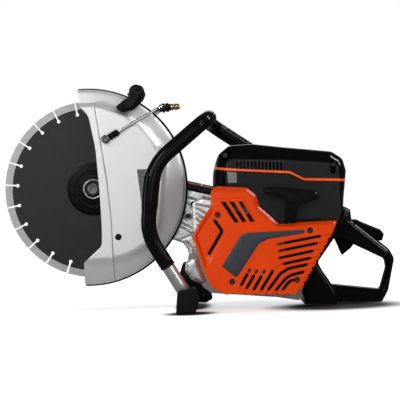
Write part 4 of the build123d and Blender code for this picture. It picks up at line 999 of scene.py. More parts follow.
# ---------------------------------------------------------------- blade clamping
def blade_clamp():
    outer = [(5.1, 47.5), (21, 47.5), (22.5, 49.6, 1.2), (29, 50.0, 1.5), (30.5, 51.8), (34.5, 52.0, 0.4),
             (35.2, 50.9, 0.4), (37.6, 50.9, 0.4), (38.4, 52.2, 0.4), (46.5, 52.6), (48, 53.4),
             (52.3, 54.0, 0.9), (52.3, 56.85), (40, 56.85), (38, 55.4), (12.8, 55.4), (12.8, 54), (5.1, 54)]
    inner = [(12.8, 61.2), (38, 61.2), (40, 59.15), (52.3, 59.15), (52.3, 63.2, 1.0), (44, 64.2), (31, 67, 2),
             (24, 70), (10.1, 70), (10.1, 62.3), (12.8, 62.3)]
    flanges = [lathe(SPINDLE, eased(outer, 0.5), 128), lathe(SPINDLE, eased(inner, 0.6), 128)]
    piece("blade_flange_pair", flanges, FLANGE_STEEL, "blade_flanges", body="blade_assembly")
    washer = [(5.2, 44.2), (16.4, 44.2, 0.5), (17.2, 43.4, 0.4), (18.6, 43.2, 0.5), (20.3, 44.6, 0.8),
              (20.3, 47.3), (5.2, 47.3)]
    piece("blade_washer", lathe(SPINDLE, eased(washer, 0.5), 96), STEEL,
          body="blade_assembly")
    bolt = socket_screw(SPINDLE, 44.1, -1, radius=10.6, height=6.8, socket=5.4, depth=4.5)
    piece("blade_bolt", bolt, BOLT_BRIGHT, "blade_bolt_and_washer", body="blade_assembly")
    # Painted shade: a thin black ring laid on the washer between the bolt head and its rim stands in for the
    # shade of the recess.
    cup = lathe(SPINDLE, eased([(10.9, 43.9), (16.3, 43.9), (16.3, 44.4), (10.9, 44.4)], 0.1), 64)
    piece("blade_washer_shade_ring", cup, BLACK, body="blade_assembly")


# ---------------------------------------------------------------- starter housing
STARTER_TOP = [(28, 226, 3), (38, 235, 4), (95, 230, 12), (111, 216, 10), (117, 195, 8), (153, 161, 4)]
STARTER_BROW = [(171, 161, 6), (190, 163, 10), (260, 164, 3), (253, 148, 2)]
STARTER_LEFT = [(22, 50, 10), (8, 84, 12), (-9, 145, 12), (2, 164, 10), (27, 198, 8)]
STARTER_FOOT = [(50, 33, 6)]
STARTER = STARTER_TOP + STARTER_BROW[:-1] + [
    (247, 135, 3), (233, 108, 10), (202, 62, 12), (182, 30, 6), (156, 26, 8)] + STARTER_FOOT + STARTER_LEFT
FACE_Y = -118.0
HOUSING_BACK_Y = -62.1
CHEEK = [(33, 197), (58, 157, 3), (55, 149, 6), (30, 104, 8), (14, 84), (-30, 84), (-30, 197)]
SLOT_FIELD = [
    (78, 60, 4), (108, 116, 14), (124, 131, 12), (150, 134, 4), (262, 151), (262, 20), (60, 20), (70, 44, 4),
]
SLOPE_SLOTS = [
    [(45.5, 206), (54, 206), (77.5, 167), (69.5, 167)], [(61, 205.5), (69.5, 205.5), (92, 167), (83.5, 167)],
    [(77.5, 205), (85.5, 205), (106.5, 167), (98.5, 167)],
]
ELBOW_SLOT = [(33.5, 171), (45, 153.5), (44.5, 149), (20.5, 111)]
LONG_SLOTS = [
    ((149, 124), (226, 136)), ((150, 111.5), (219, 123)), ((150.5, 98.5), (211, 109)),
    ((158, 87.5), (206, 96)),
]
DOWN_SLOTS = [((94, 78), (78, 52)), ((107, 76), (88, 46)), ((121, 75), (101, 43)), ((136, 74), (115, 42))]
NEST_SLOTS = [[(199, 84.5), (165, 78), (151, 70), (128, 41.5)], [(192, 71), (170, 66), (160, 60), (142, 40)],
              [(174, 57), (169, 55.5), (163, 51), (155, 41)]]
BADGE = [
    (43, 87), (67, 66), (72, 68, 3), (113, 126, 14), (130, 134, 14), (196, 142), (198, 149), (92, 147, 14),
    (80, 143, 8),
]
HOUSING_SCREWS = [(39.0, 182.0), (208.0, 147.0), (61.0, 58.0), (181.0, 57.0)]


def toothed(start, end, count, depth):
    """Points of a saw-toothed edge along a line, each tooth rising slowly and stepping back."""
    start, end = np.array(start, float), np.array(end, float)
    way = (end - start) / count
    inward = np.array([way[1], -way[0]]) / np.linalg.norm(way)
    points = []
    for k in range(count):
        first = start + way * k
        points += [(*first, 1.2), (*(first + way * 0.70), 1.6), (*(first + way * 0.92 + inward * depth), 0.8)]
    return points


def housing_outline():
    right = toothed((250, 141), (187, 36), 8, 4.2)
    foot = toothed((180, 30), (62, 34.5), 6, 3.0)
    return rounded(STARTER_TOP + STARTER_BROW + right + foot + STARTER_FOOT + STARTER_LEFT, 1.2)


def box(x0, z0, x1, z1, radius=0.0):
    """Corner points of an upright box."""
    return [(x0, z0, radius), (x1, z0, radius), (x1, z1, radius), (x0, z1, radius)]


def point_on(a, b, t):
    return (a[0] + (b[0] - a[0]) * t, a[1] + (b[1] - a[1]) * t)


def housing_slots():
    """Every through slot of the housing; the first three of a row are crossed by a bar near one end."""
    loops = [rounded([(x, z, 0.8) for x, z in quad]) for quad in SLOPE_SLOTS]
    loops.append(slot(ELBOW_SLOT, 6.2, 6))
    for row, width, first, second in ((LONG_SLOTS, 5.2, 0.075, 0.15), (DOWN_SLOTS, 5.8, 0.07, 0.31)):
        for a, b in row[:3]:
            loops.append(slot([a, point_on(a, b, first)], width, 5))
            loops.append(slot([point_on(a, b, second), b], width, 5))
        loops.append(slot(row[3], width, 5))
    return loops + [slot(line, 5.6, 5) for line in NEST_SLOTS]


def housing_grooves():
    """Shallow grooves that carry the slots on to the toothed edges."""
    nests = [(line[1], line[0]) for line in NEST_SLOTS[:2]]
    downs = DOWN_SLOTS + [(line[-2], line[-1]) for line in NEST_SLOTS]
    return [slot([point_on(a, b, first), point_on(a, b, last)], 1.8, 4)
            for lines, first, last in ((LONG_SLOTS, 1.03, 1.34), (nests, 1.10, 1.6), (downs, 1.09, 1.40))
            for a, b in lines]


def starter():
    outer = dense(housing_outline(), 4)
    true_edge = dense(rounded(STARTER), 4)
    slots = housing_slots()
    wells = [circle(p, 5.4, 28) for p in HOUSING_SCREWS]
    cheek, field = dense(rounded(CHEEK), 4), dense(rounded(SLOT_FIELD), 4)
    sliver = slot([(136, 76.5), (155, 89)], 3.2, 5)
    panel = rounded([(36, 213, 4), (36, 199), (63, 155), (113, 160, 5), (92, 203, 10), (88, 213, 4)])
    steps = [(field, -1.4, 2.2), (sliver, -1.8, 1.0), (panel, 1.1, 1.8)]
    steps += [(groove, -1.3, 0.7) for groove in housing_grooves()]
    guides = step_guides(steps) + step_guides([(cheek, 0, 12.0)])
    guides += edge_rings(outer, 1.2)
    for d in (4.7, 5.3, 8.7, 9.3):
        guides += offset(true_edge, d)
    for loop in slots + wells:
        guides += edge_rings(loop, 0.7, 2, way=-1)
    points, faces = flat_mesh([outer], slots + wells, guides, 4.5)
    x, z = points[:, 0], points[:, 1]
    lip = 5 + 4 * np.maximum(smooth((z - 150) / 20), smooth((50 - x) / 20))
    chamfer = np.maximum(0, lip - np.abs(signed(points, true_edge)))
    base = FACE_Y + 1.1 + chamfer * 0.9 + 5.5 * np.clip(signed(points, cheek) / 12.0, 0, 1)
    near = base - relief(points, steps) + roll(distance(points, outer), 1.2)
    near += roll(nearest_edge(points, slots + wells), 0.7)
    far = np.maximum(near + 1.0, base + 3.2)
    front = lens_rows(points, faces, near, far)
    inner = max(offset(true_edge, 5.2), key=len)[:-1]
    wall_points, wall_faces = flat_mesh([outer], [tidy_loop(inner)], (), 50)
    start_y = FACE_Y + 1.1 + 0.9 * np.maximum(0, 5 - np.abs(signed(wall_points, true_edge))) + 3.4
    wall = lens_rows(wall_points, wall_faces, start_y, np.full(len(wall_points), HOUSING_BACK_Y), 3)
    piece("starter_housing_shell", [front, wall], ORANGE, "starter_housing", sharp=26)
    badge = plate(BADGE, FACE_Y - 0.6 + 0.9, FACE_Y + 1.6, edge=0.35, spacing=8)
    piece("badge_plate", badge, BADGE_FINISH, "starter_badge")
    screws = [socket_screw(p, FACE_Y + 5.0, -1, radius=4.4, height=3.6) for p in HOUSING_SCREWS]
    cup = [(4.6, 2.2), (5.38, 2.2), (5.38, 7), (0, 7), (0, 5.2), (4.6, 5.2)]
    cups = [lathe(p, eased(standing(cup, FACE_Y), 0.1), 28) for p in HOUSING_SCREWS]
    cover_screws = [socket_screw(p, -91.2, -1, radius=4.4, height=3.6) for p in COVER_SCREWS]
    piece("socket_screws", screws + cover_screws, SCREW_BLACK, "housing_screws")
    piece("screw_wells", cups, BLACK)
    # Guide bars of the air inlet, just visible through the slots, over a dark inner screen.
    bars = [plate(slot([(146, 98), (153, 126)], 6.5), -113.0, -111.6, edge=0.3),
            plate(slot([(90, 76), (124, 72)], 6.0), -113.0, -111.6, edge=0.3)]
    piece("inlet_guide", bars, DARK_STEEL)
    screen = plate(max(offset(rounded(STARTER), 5.4), key=len)[:-1], -108.0, -106.8, edge=0.1, spacing=40)
    piece("inlet_screen", screen, RUBBER)


# ---------------------------------------------------------------- engine cover
COVER = [
    (33, 224, 3), (35, 262, 14), (44, 294, 22), (66, 311, 20), (110, 312, 60), (168, 304, 60),
    (256, 293, 14), (277, 279, 18), (283, 256, 16), (274, 184, 10), (262, 160, 6), (100, 160, 3),
]
COVER_FACE = [
    (56, 140, 4), (57, 262, 20), (66, 284, 10), (172, 279, 60), (250, 271, 12), (267, 262, 10), (268, 140, 4),
]
STRIPE_LINE = [(20, 271.5), (58, 266), (176, 256), (202, 242), (300, 237)]
STRIPE_HALF = 2.5
COVER_NEAR_Y, COVER_FAR_Y, COVER_SPLIT_Y = -100.0, 78.0, -60.0
COVER_DROP = 25.0
COVER_WALL = 3.6
CHOKE_AT, VALVE_AT = (232, 226), (72, 262)
COVER_SCREWS = [(57.0, 292.0), (258.0, 268.0)]
SCREW_POCKETS = [
    [(51.5, 282, 4), (63, 279, 4), (69, 303, 3), (62, 305, 3)],
    [(250.5, 252, 4), (261.5, 250, 4), (262, 275, 4), (253, 277, 4)],
]


def stripe_height(points):
    """Height of each point above the middle of the stripe."""
    line = np.array(STRIPE_LINE)
    return points[:, 1] - np.interp(points[:, 0], line[:, 0], line[:, 1])


def band(heights, sign):
    """Which heights are above (1), below (-1) or within (0) the stripe."""
    return sign * heights > STRIPE_HALF if sign else np.abs(heights) <= STRIPE_HALF


def cover_near(points, outline_loop, face_loop, pockets, cuts, dips):
    """Near side of the cover: a flat face, an edge that rolls back, and all that is pressed into it."""
    to_face = np.maximum(0, -signed(points, face_loop))
    u = to_face / np.maximum(to_face + distance(points, outline_loop), 1e-6)
    drop = COVER_DROP * (0.35 * u + 0.65 * (1 - np.sqrt(np.maximum(0, 1 - u * u))))
    near = COVER_NEAR_Y + drop * smooth((points[:, 1] - 160) / 45)
    return near - relief(points, pockets) - relief(points, cuts) - relief(points, dips)


def engine_cover():
    outline_loop = dense(rounded(COVER), 4)
    face_loop = dense(rounded(COVER_FACE), 4)
    housing = dense(rounded(STARTER), 4)
    grown_housing = tidy_loop(np.vstack(offset(housing, -1.0)))
    pockets = [(rounded(p), -9.0, 1.6) for p in SCREW_POCKETS]
    cuts = []
    for i in range(13):
        x, z = 76.5 + i * 6.8, 264.8 - i * 0.42
        cuts.append((rounded(box(x, z, x + 4.0, z + 15.5, 0.6), 0.6), -5.0, 0.35))
    # Long shallow panels pressed in the lower face, either side of the starter handle.
    dips = [([(62, 262, 3), (62, 246, 3), (96, 240, 4), (126, 228, 6), (240, 212, 6), (255, 236, 6),
              (200, 240, 6), (172, 253, 6)], -0.7, 1.4)]
    guides = step_guides(pockets + cuts + dips)
    guides.append(ring(face_loop))
    for d in (0.5, 1.5, 3.0, 6.0, 11.0):
        guides += offset(outline_loop, d)
    for d in (-4.0, -9.0, 0.6):
        guides += offset(face_loop, d)
    lines = np.array(STRIPE_LINE, float)
    for lift in (-STRIPE_HALF - 0.7, -STRIPE_HALF, -STRIPE_HALF + 0.5,
                 STRIPE_HALF - 0.5, STRIPE_HALF, STRIPE_HALF + 0.7):
        fine = []
        for a, b in zip(lines, lines[1:]):
            count = max(1, int(np.linalg.norm(b - a) / 4))
            fine += [a + (b - a) * k / count for k in range(count)]
        guides.append(np.array(fine + [lines[-1]]) + np.array([0, lift]))
    guides = clipped(guides, outline_loop, clear=0.2)
    points, faces = flat_mesh([outline_loop], [grown_housing], guides, 5.0)
    near = cover_near(points, outline_loop, face_loop, pockets, cuts, dips)
    rise = stripe_height(points)
    groove = np.clip(1 - np.abs(np.abs(rise) - STRIPE_HALF) / 0.6, 0, 1)
    near = near + 0.8 * groove - 0.35 * (np.abs(rise) < STRIPE_HALF - 0.4)
    near = near + roll(distance(points, outline_loop), 1.5) + roll(distance(points, grown_housing), 1.2)
    split_y = np.full(len(points), COVER_SPLIT_Y)
    centres = points[faces].mean(1)
    level = stripe_height(centres)
    flat_area = signed(centres, face_loop) > 0.0
    # Painted shade: faces in the screw pockets and vent cuts keep the black finish, not the grey one, so the
    # recesses read dark.
    recess_painted_black = np.zeros(len(centres), bool)
    for loop, _, _ in pockets + cuts:
        recess_painted_black |= signed(centres, dense(loop, 3)) > 0.1
    rear_outline = [p for p in outline_loop if p[1] > 214 or p[0] > 262]
    rear_outline = tidy_loop(np.array(rear_outline + [np.array([262.0, 162.0]), np.array([262.0, 214.0])]))
    rear_guides = []
    for d in (1.0, 3.0, 6.0, 9.0, 12.0):
        rear_guides += offset(outline_loop, d)
    ribs = [(slot([(74 + i * 14, 236), (74 + i * 14, 290 - i * 0.8)], 5.0), -1.6, 1.2) for i in range(9)]
    knobs = [(circle(CHOKE_AT, 12, 30), 1.6, 1.0), (circle(VALVE_AT, 11, 30), -1.8, 1.0)]
    stem_holes = [circle(CHOKE_AT, 3.8, 16), circle(VALVE_AT, 4.3, 16)]
    rear_guides += step_guides(ribs + knobs) + offset(outline_loop, 4.5) + offset(outline_loop, 4.7)
    rear_guides += [ring(hole) for hole in stem_holes]
    for lift in (-STRIPE_HALF - 0.7, -STRIPE_HALF, STRIPE_HALF, STRIPE_HALF + 0.7):
        rear_guides.append(np.array([a + (b - a) * k / 12 for a,
                                     b in zip(lines, lines[1:]) for k in range(12)]) + np.array([0, lift]))
    rear_guides = clipped(rear_guides, rear_outline, clear=0.2)
    back_points, back_faces = flat_mesh([dense(rear_outline, 4)], stem_holes, rear_guides, 6.0)
    back = COVER_FAR_Y - roll(distance(back_points, outline_loop), 12.0)
    back_rise = stripe_height(back_points)
    back = back + relief(back_points, ribs + knobs)
    back = back - 0.8 * np.clip(1 - np.abs(np.abs(back_rise) - STRIPE_HALF) / 0.6, 0, 1)
    back_level = stripe_height(back_points[back_faces].mean(1))
    back_start = np.where(distance(back_points, outline_loop) > 4.6, back - COVER_WALL, COVER_SPLIT_Y)
    for name, sign, node, slot_name in (("cover_upper", 1, "engine_cover_upper", "black_plastic"),
                                        ("cover_lower", -1, "engine_cover_lower", "dark_grey_plastic"),
                                        ("cover_stripe", 0, "orange_trim_strips", "orange_plastic")):
        front_band, back_band = (band(heights, sign) for heights in (level, back_level))
        shells = [lens_rows(points, faces[front_band], near, split_y),
                  lens_rows(back_points, back_faces[back_band], back_start, back, 1)]
        if not sign:
            piece(name, shells, ORANGE_TRIM, node, sharp=40)
            continue
        tags = [0] * sum(len(polys) for _, polys in shells)
        tags[:front_band.sum()] = [int(flat) for flat in (flat_area & ~recess_painted_black)[front_band]]
        piece(name, shells, BLACK_GLOSS, node, sharp=40, tags=tags, second=DARK_GREY)
    # Inner black plate that closes the gap over the top of the starter housing, a dark sheet that stands in
    # for the shade in that gap.
    lip = plate([(112, 150), (262, 150), (266, 186, 4), (120, 200, 4)], -97.5, -64.0, edge=0.8, spacing=12)
    piece("cover_gap_shade_plate", lip, BLACK_GLOSS)
    plate_rows = plate([(59.5, 261.5, 1), (77, 259.5, 1), (77, 240, 1), (60.5, 240, 1)], -100.5, -98.5,
                       edge=0.3, steps=[([(62, 257.5), (74.5, 256), (74.5, 251), (62, 251)], -0.25, 0.3),
                                        ([(62, 248.5), (74.5, 248.5), (74.5, 242.5), (62.5, 242.5)], -0.25,
                                         0.3)], spacing=8)
    piece("cover_label", plate_rows, COVER_LABEL)


# ---------------------------------------------------------------- starter handle and rope
HANDLE_T = [
    (123.5, 219, 4), (124, 228.5, 4), (133, 230.5, 8), (162, 228.5, 40), (198, 223, 30), (222, 219.5, 5),
    (226.5, 211, 5), (221, 203, 6), (206, 200.5, 10), (193, 198, 6), (186, 190, 10), (182, 167, 2),
    (162, 167, 2), (164, 188, 20), (165, 198, 9), (160, 207, 12), (150, 212, 20), (131, 215, 10),
]


def starter_handle():
    def lean(points):
        return -14.5 * smooth((points[:, 1] - 168) / 36)

    body = pillow(HANDLE_T, -110.0, 9.0, 7.0, spacing=3.5, shift=lean)
    piece("pull_handle", body, PULL_GREY, "starter_handle", body="starter_handle", sharp=50)
    neck = lathe_along((171.5, -107.8, 162.3), (0, 0, 1), [(0, 9.4), (1.2, 10.2), (4.4, 10.2), (5.4, 9.2)],
                       32)
    piece("pull_handle_collar", neck, BLACK_GLOSS, body="starter_handle")
    line = [Vector((171.5, -107.8, 150.0 + 26.0 * k / 72)) for k in range(73)]
    strand = tube(line, [(30.0 * k, 2.0) for k in range(12)])
    rope = piece("pull_rope", strand, ROPE, body=None)
    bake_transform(rope)


# ---------------------------------------------------------------- front handle
HANDLE_PATH = [
    (-24, 78, 33), (-24, -94, 33), (-92, -108, 151), (-78, -112, 277), (30, -100, 365), (30, 102, 365),
    (112, 104, 308), (186, 100, 236),
]
HANDLE_RADII = [30, 90, 90, 38, 38, 90]
NEAR_FOOT = [(-45, 0.4, 3), (-41, 43, 6), (-6, 50, 8), (0, 28, 8), (-9, 0.4, 8)]
LOWER_BRACKET = [
    (-40, 20, 4), (-40, 62, 4), (-30, 92, 6), (-17, 88, 4), (-2, 66, 6), (12, 44, 6), (26, 24, 4),
    (12, 16, 4),
]
CLAMP_FOOT = [(120, 196), (196, 196, 6), (204, 236, 10), (190, 256, 10), (168, 240, 6), (120, 214, 6)]
CLAMP_HEAD = [(166, 214, 5), (194, 214, 5), (206, 238, 8), (188, 258, 8), (160, 236, 5)]
GRIP_R = 14.2


def grooved(radius, grooves, depth, width, count=72):
    """Round section with shallow grooves at given angles."""
    section = []
    for k in range(count):
        angle = 360.0 * k / count
        away = min(abs((angle - g + 180) % 360 - 180) for g in grooves)
        section.append((angle, radius - depth * float(smooth((width - away) / (width * 0.45)))))
    return section


def front_handle():
    line = route(HANDLE_PATH, HANDLE_RADII, 3.0)
    low, high = Vector((-58, -101, 92)), Vector((150, 102, 271))
    first = min(range(len(line)), key=lambda i: (line[i] - low).length)
    last = min(range(len(line)), key=lambda i: (line[i] - high).length)
    covered = line[first:last + 1]
    travelled = [0.0]
    for a, b in zip(covered, covered[1:]):
        travelled.append(travelled[-1] + (b - a).length)
    total = travelled[-1]

    def swell(s):
        grip = 0.10 * float(smooth((s - 108) / 16) * smooth((190 - s) / 16))
        end = 1 - 0.06 * float(smooth((3 - s) / 3)) - 0.06 * float(smooth((s - total + 3) / 3))
        return (1 + grip) * end

    section = grooved(GRIP_R, (232, 262, 292, 338, 70, 110), 0.9, 4.5)
    sleeve = tube(covered, section, grow=swell)
    piece("handle_sleeve", sleeve, SLEEVE, "front_handle_grip", sharp=55)
    bare = tube(line, [(10.0 * k, 12.5) for k in range(36)])
    collar = lathe_along(covered[0], (-68, -14, 118), [(-2.0, 12.6), (-2.0, 14.0), (-1.2, 14.5), (1.5, 14.5),
                                                       (2.0, 14.2)], 48)
    piece("handle_tube", bare, TUBE, "front_handle_tube", sharp=50)
    piece("sleeve_end", collar, RUBBER)
    feet = []
    for y0, y1 in ((-118.0, -72.0), (44.0, 84.0)):
        ridges = [(slot([(-40 + i * 8.0, 8), (-37 + i * 7.0, 38 + i * 1.2)], 3.0), -0.35, 1.2)
                  for i in range(1, 5)]
        feet.append(plate(NEAR_FOOT, y0, y1, edge=4.5, far_edge=4.5, steps=ridges, spacing=5))
        feet += [plate([(-41 + i * 8, 0.05, 0.5), (-36.5 + i * 8, 0.05, 0.5), (-36.5 + i * 8, 3),
                        (-41 + i * 8, 3)], y0 + 6, y1 - 6, edge=0.5, far_edge=0.5) for i in range(4)]
    piece("rubber_feet", feet, RUBBER, "front_feet")
    bracket = plate(LOWER_BRACKET, -58.0, 40.0, edge=3.0, far_edge=3.0, spacing=6,
                    steps=[([(-32, 30, 3), (-32, 60, 3), (-12, 58, 4), (6, 32, 3)], -3.0, 1.5)])
    studs = [hex_head((-22, 70), -58.0, -1, 6.0, 4.0), hex_head((8, 28), -58.0, -1, 6.0, 4.0)]
    piece("handle_bracket", [bracket] + studs, BLACK, "lower_bracket")
    foot = plate(CLAMP_FOOT, 86.0, 80.2, edge=1.2, far_edge=0.6, spacing=6)
    head = plate(CLAMP_HEAD, 113.0, 84.0, edge=3.0, far_edge=1.0, spacing=5,
                 steps=[(circle((184, 226), 6.5, 24), -2.0, 0.8)])
    caps = [socket_screw((184, 226), 111.0, 1, radius=5.0, height=3.0),
            socket_screw((136, 205), 86.0, 1, radius=5.0, height=4.0),
            socket_screw((152, 210), 86.0, 1, radius=5.0, height=4.0)]
    piece("upper_clamp", [foot, head] + caps, BLACK, "handle_clamp")


# ---------------------------------------------------------------- rear handle, tank and throttle
REAR_OUTER = [
    (199, 4, 3), (292, 0.2), (352, 0.2, 7), (365, 23, 30), (379, 84, 16), (370, 102.5, 16), (299, 163, 3),
    (297, 182, 5), (284, 189, 5), (278, 188, 2), (276, 182), (264, 158.5), (199, 158.5, 4),
]
REAR_OPENING = [
    (262, 127, 6), (231, 82, 8), (252, 40, 8), (348, 27, 5), (361, 68, 16), (359, 84, 10), (301, 114, 3),
]
TANK_SPAN = [
    (199, 4, 3), (262, 1.6, 2), (262, 22), (247, 50), (226, 82), (259, 127), (262, 158.5, 2), (199, 158.5, 4),
]
TRIGGER = [
    (262, 131, 4), (268, 118, 8), (274, 102, 30), (278, 93, 2), (296, 107, 8), (304, 117, 4), (296, 134, 5),
    (280, 141, 8),
]
LOCKOUT = [
    (300, 157, 3), (302, 164, 3), (354, 141, 4), (361, 132, 4), (357, 119, 3), (345, 119, 6), (318, 140, 6),
]
FUEL_CAP = (229.0, 122.0)
GRIP_CHAMFER = 8.2


def shaped_grip(outer, holes, half, edge, steps, spacing=4.0):
    """Handle of one outline with fully rounded edges and the same relief on both sides."""
    outer = dense(as_loop(outer), 3.5)
    holes = [dense(as_loop(h), 3.5) for h in holes]
    guides = step_guides(steps) + edge_rings(outer, edge, 6)
    for hole in holes:
        guides += edge_rings(hole, edge, 6, way=-1)
    guides = clipped(guides, outer, holes, -1)
    points, faces = flat_mesh([outer], holes, guides, spacing)
    d = nearest_edge(points, [outer] + holes)
    u = 1 - np.clip(d / edge, 0, 1)
    thick = half * np.maximum(0, 1 - u ** 2.4) ** (1 / 2.4)
    if edge > 10:
        thick = np.minimum(thick, half - GRIP_CHAMFER + d)
    thick = thick + relief(points, steps)
    return lens_rows(points, faces, -thick, thick)


def rear_unit():
    # Grooves mark where the two halves of the handle meet.
    seam = slot([(303, 139), (362, 93), (368, 66), (358, 26)], 1.5)
    base_line = slot([(262, 18.6), (290, 17.0), (308, 16.2)], 1.6)
    low_rib = slot([(318, 9), (345, 9)], 3.0)
    steps = [(seam, -1.2, 0.6), (base_line, 1.0, 0.6), (low_rib, -1.0, 0.8)]
    handle = shaped_grip(REAR_OUTER, [REAR_OPENING], 18.0, 13.0, steps)
    tank_steps = [
        ([(205, 14, 4), (254, 12, 4), (242, 44, 6), (221, 78, 6), (205, 78, 4)], 1.4, 2.0),
        ([(205, 92, 4), (226, 92, 4), (252, 130, 4), (252, 150, 4), (205, 150, 4)], 1.4, 2.0),
    ]
    near_tank = plate(TANK_SPAN, -46.0, 7.0, edge=6.0, far_edge=0.1, steps=tank_steps, spacing=6)
    far_steps = [tank_steps[0], (circle(FUEL_CAP, 23.0, 60), 3.0, 1.4)]
    far_tank = plate(TANK_SPAN, 58.6, 7.0, edge=6.0, far_edge=0.1, steps=far_steps, spacing=6)
    pin = [(0, 17.0), (5.2, 17.0), (5.2, 18.9), (3.4, 18.9), (3.0, 17.9), (0, 17.9)]
    cheeks = [lathe(p, eased(standing(pin, 0, side), 0.4), 32)
              for p in ((288, 131), (306, 157)) for side in (-1, 1)]
    piece("rear_handle", [handle, near_tank, far_tank] + cheeks, GRIP_BLACK,
          "rear_handle_and_tank", sharp=48)
    ribs = [(slot([(277 + i * 3.4, 97.5 + i * 2.4), (271.5 + i * 4.4, 122)], 1.6), 0.5, 0.6)
            for i in range(5)]
    trigger = shaped_grip(TRIGGER, [], 7.4, 3.2, ribs, 3.0)
    piece("trigger", trigger, BLACK_GLOSS, "throttle_trigger", body="throttle_trigger",
          sharp=48)
    ribs = [(slot([(315 + i * 7.5, 150.5 - i * 3.3), (318 + i * 7.5, 157.5 - i * 3.3)], 2.2), 0.5, 0.8)
            for i in range(5)]
    lockout = shaped_grip(LOCKOUT, [], 7.4, 3.0, ribs, 3.0)
    piece("lockout_lever", lockout, BLACK_GLOSS, "throttle_lockout", body="throttle_lockout",
          sharp=48)


# ---------------------------------------------------------------- guard lever and water kit
LEVER = [
    (-152, 399, 3), (-126, 417, 8), (-123, 434, 12), (-113, 442.0, 10), (-98, 438, 8), (-94, 424, 10),
    (-103, 402, 16), (-118, 391, 14), (-138, 387, 8),
]
LEVER_GRIP = [
    (-130, 424.5, 1), (-125, 421.6, 3), (-123, 434, 12), (-113, 442.0, 10), (-98, 438, 8), (-94, 424, 8),
    (-100.4, 408.4, 2), (-113, 417, 40),
]
TEE_AT = (-60.0, 396.0)


def guard_lever():
    panel = [([(-139, 398, 3), (-128, 391.5, 5), (-116, 397, 8), (-104, 412, 10), (-100, 428, 6),
               (-112, 434, 6), (-117, 420, 10)], 1.0, 2.4)]
    ridges = [(slot([(-146 + i * 4.4, 401.5 + i * 2.6), (-140.5 + i * 4.4, 392 - i * 0.4)], 1.8), 0.6, 0.7)
              for i in range(3)]
    low = plate(LEVER, 16.2, 33.9, edge=4.0, far_edge=0.8, steps=panel + ridges, spacing=3.5)
    grip = plate(LEVER_GRIP, 17.0, 70.0, edge=2.5, far_edge=7.0, spacing=4)
    fins = []
    for i in range(9):
        y = 38 + i * 3.2
        fins.append(plate([(-124.4, 430, 3), (-122.5, 436, 8), (-113, 443.4, 10), (-97.4, 439.4, 8),
                           (-93.2, 424, 6), (-99, 411, 2), (-101, 414), (-96.5, 425, 5), (-100, 436, 5),
                           (-113, 440, 7), (-121, 433, 7)], y, y + 1.6, edge=0.6, far_edge=0.6, spacing=9))
    piece("guard_handle", [low, grip] + fins, BLACK, "guard_lever", body="guard", sharp=40)


def ribbed_tail(start, way, length, small, large):
    """Hose barb: rings that rise slowly and step back along a short stem."""
    profile = [(0, small), (length * 0.30, small)]
    for k in range(3):
        first = length * (0.32 + 0.21 * k)
        profile += [(first, large * 0.94), (first + 0.5, large), (first + length * 0.12, large),
                    (first + length * 0.13, large * 0.92), (first + length * 0.135, small),
                    (first + length * 0.19, small)]
    profile += [(length - 0.3, small), (length, small * 0.9)]
    return lathe_along(start, way, profile, 36)


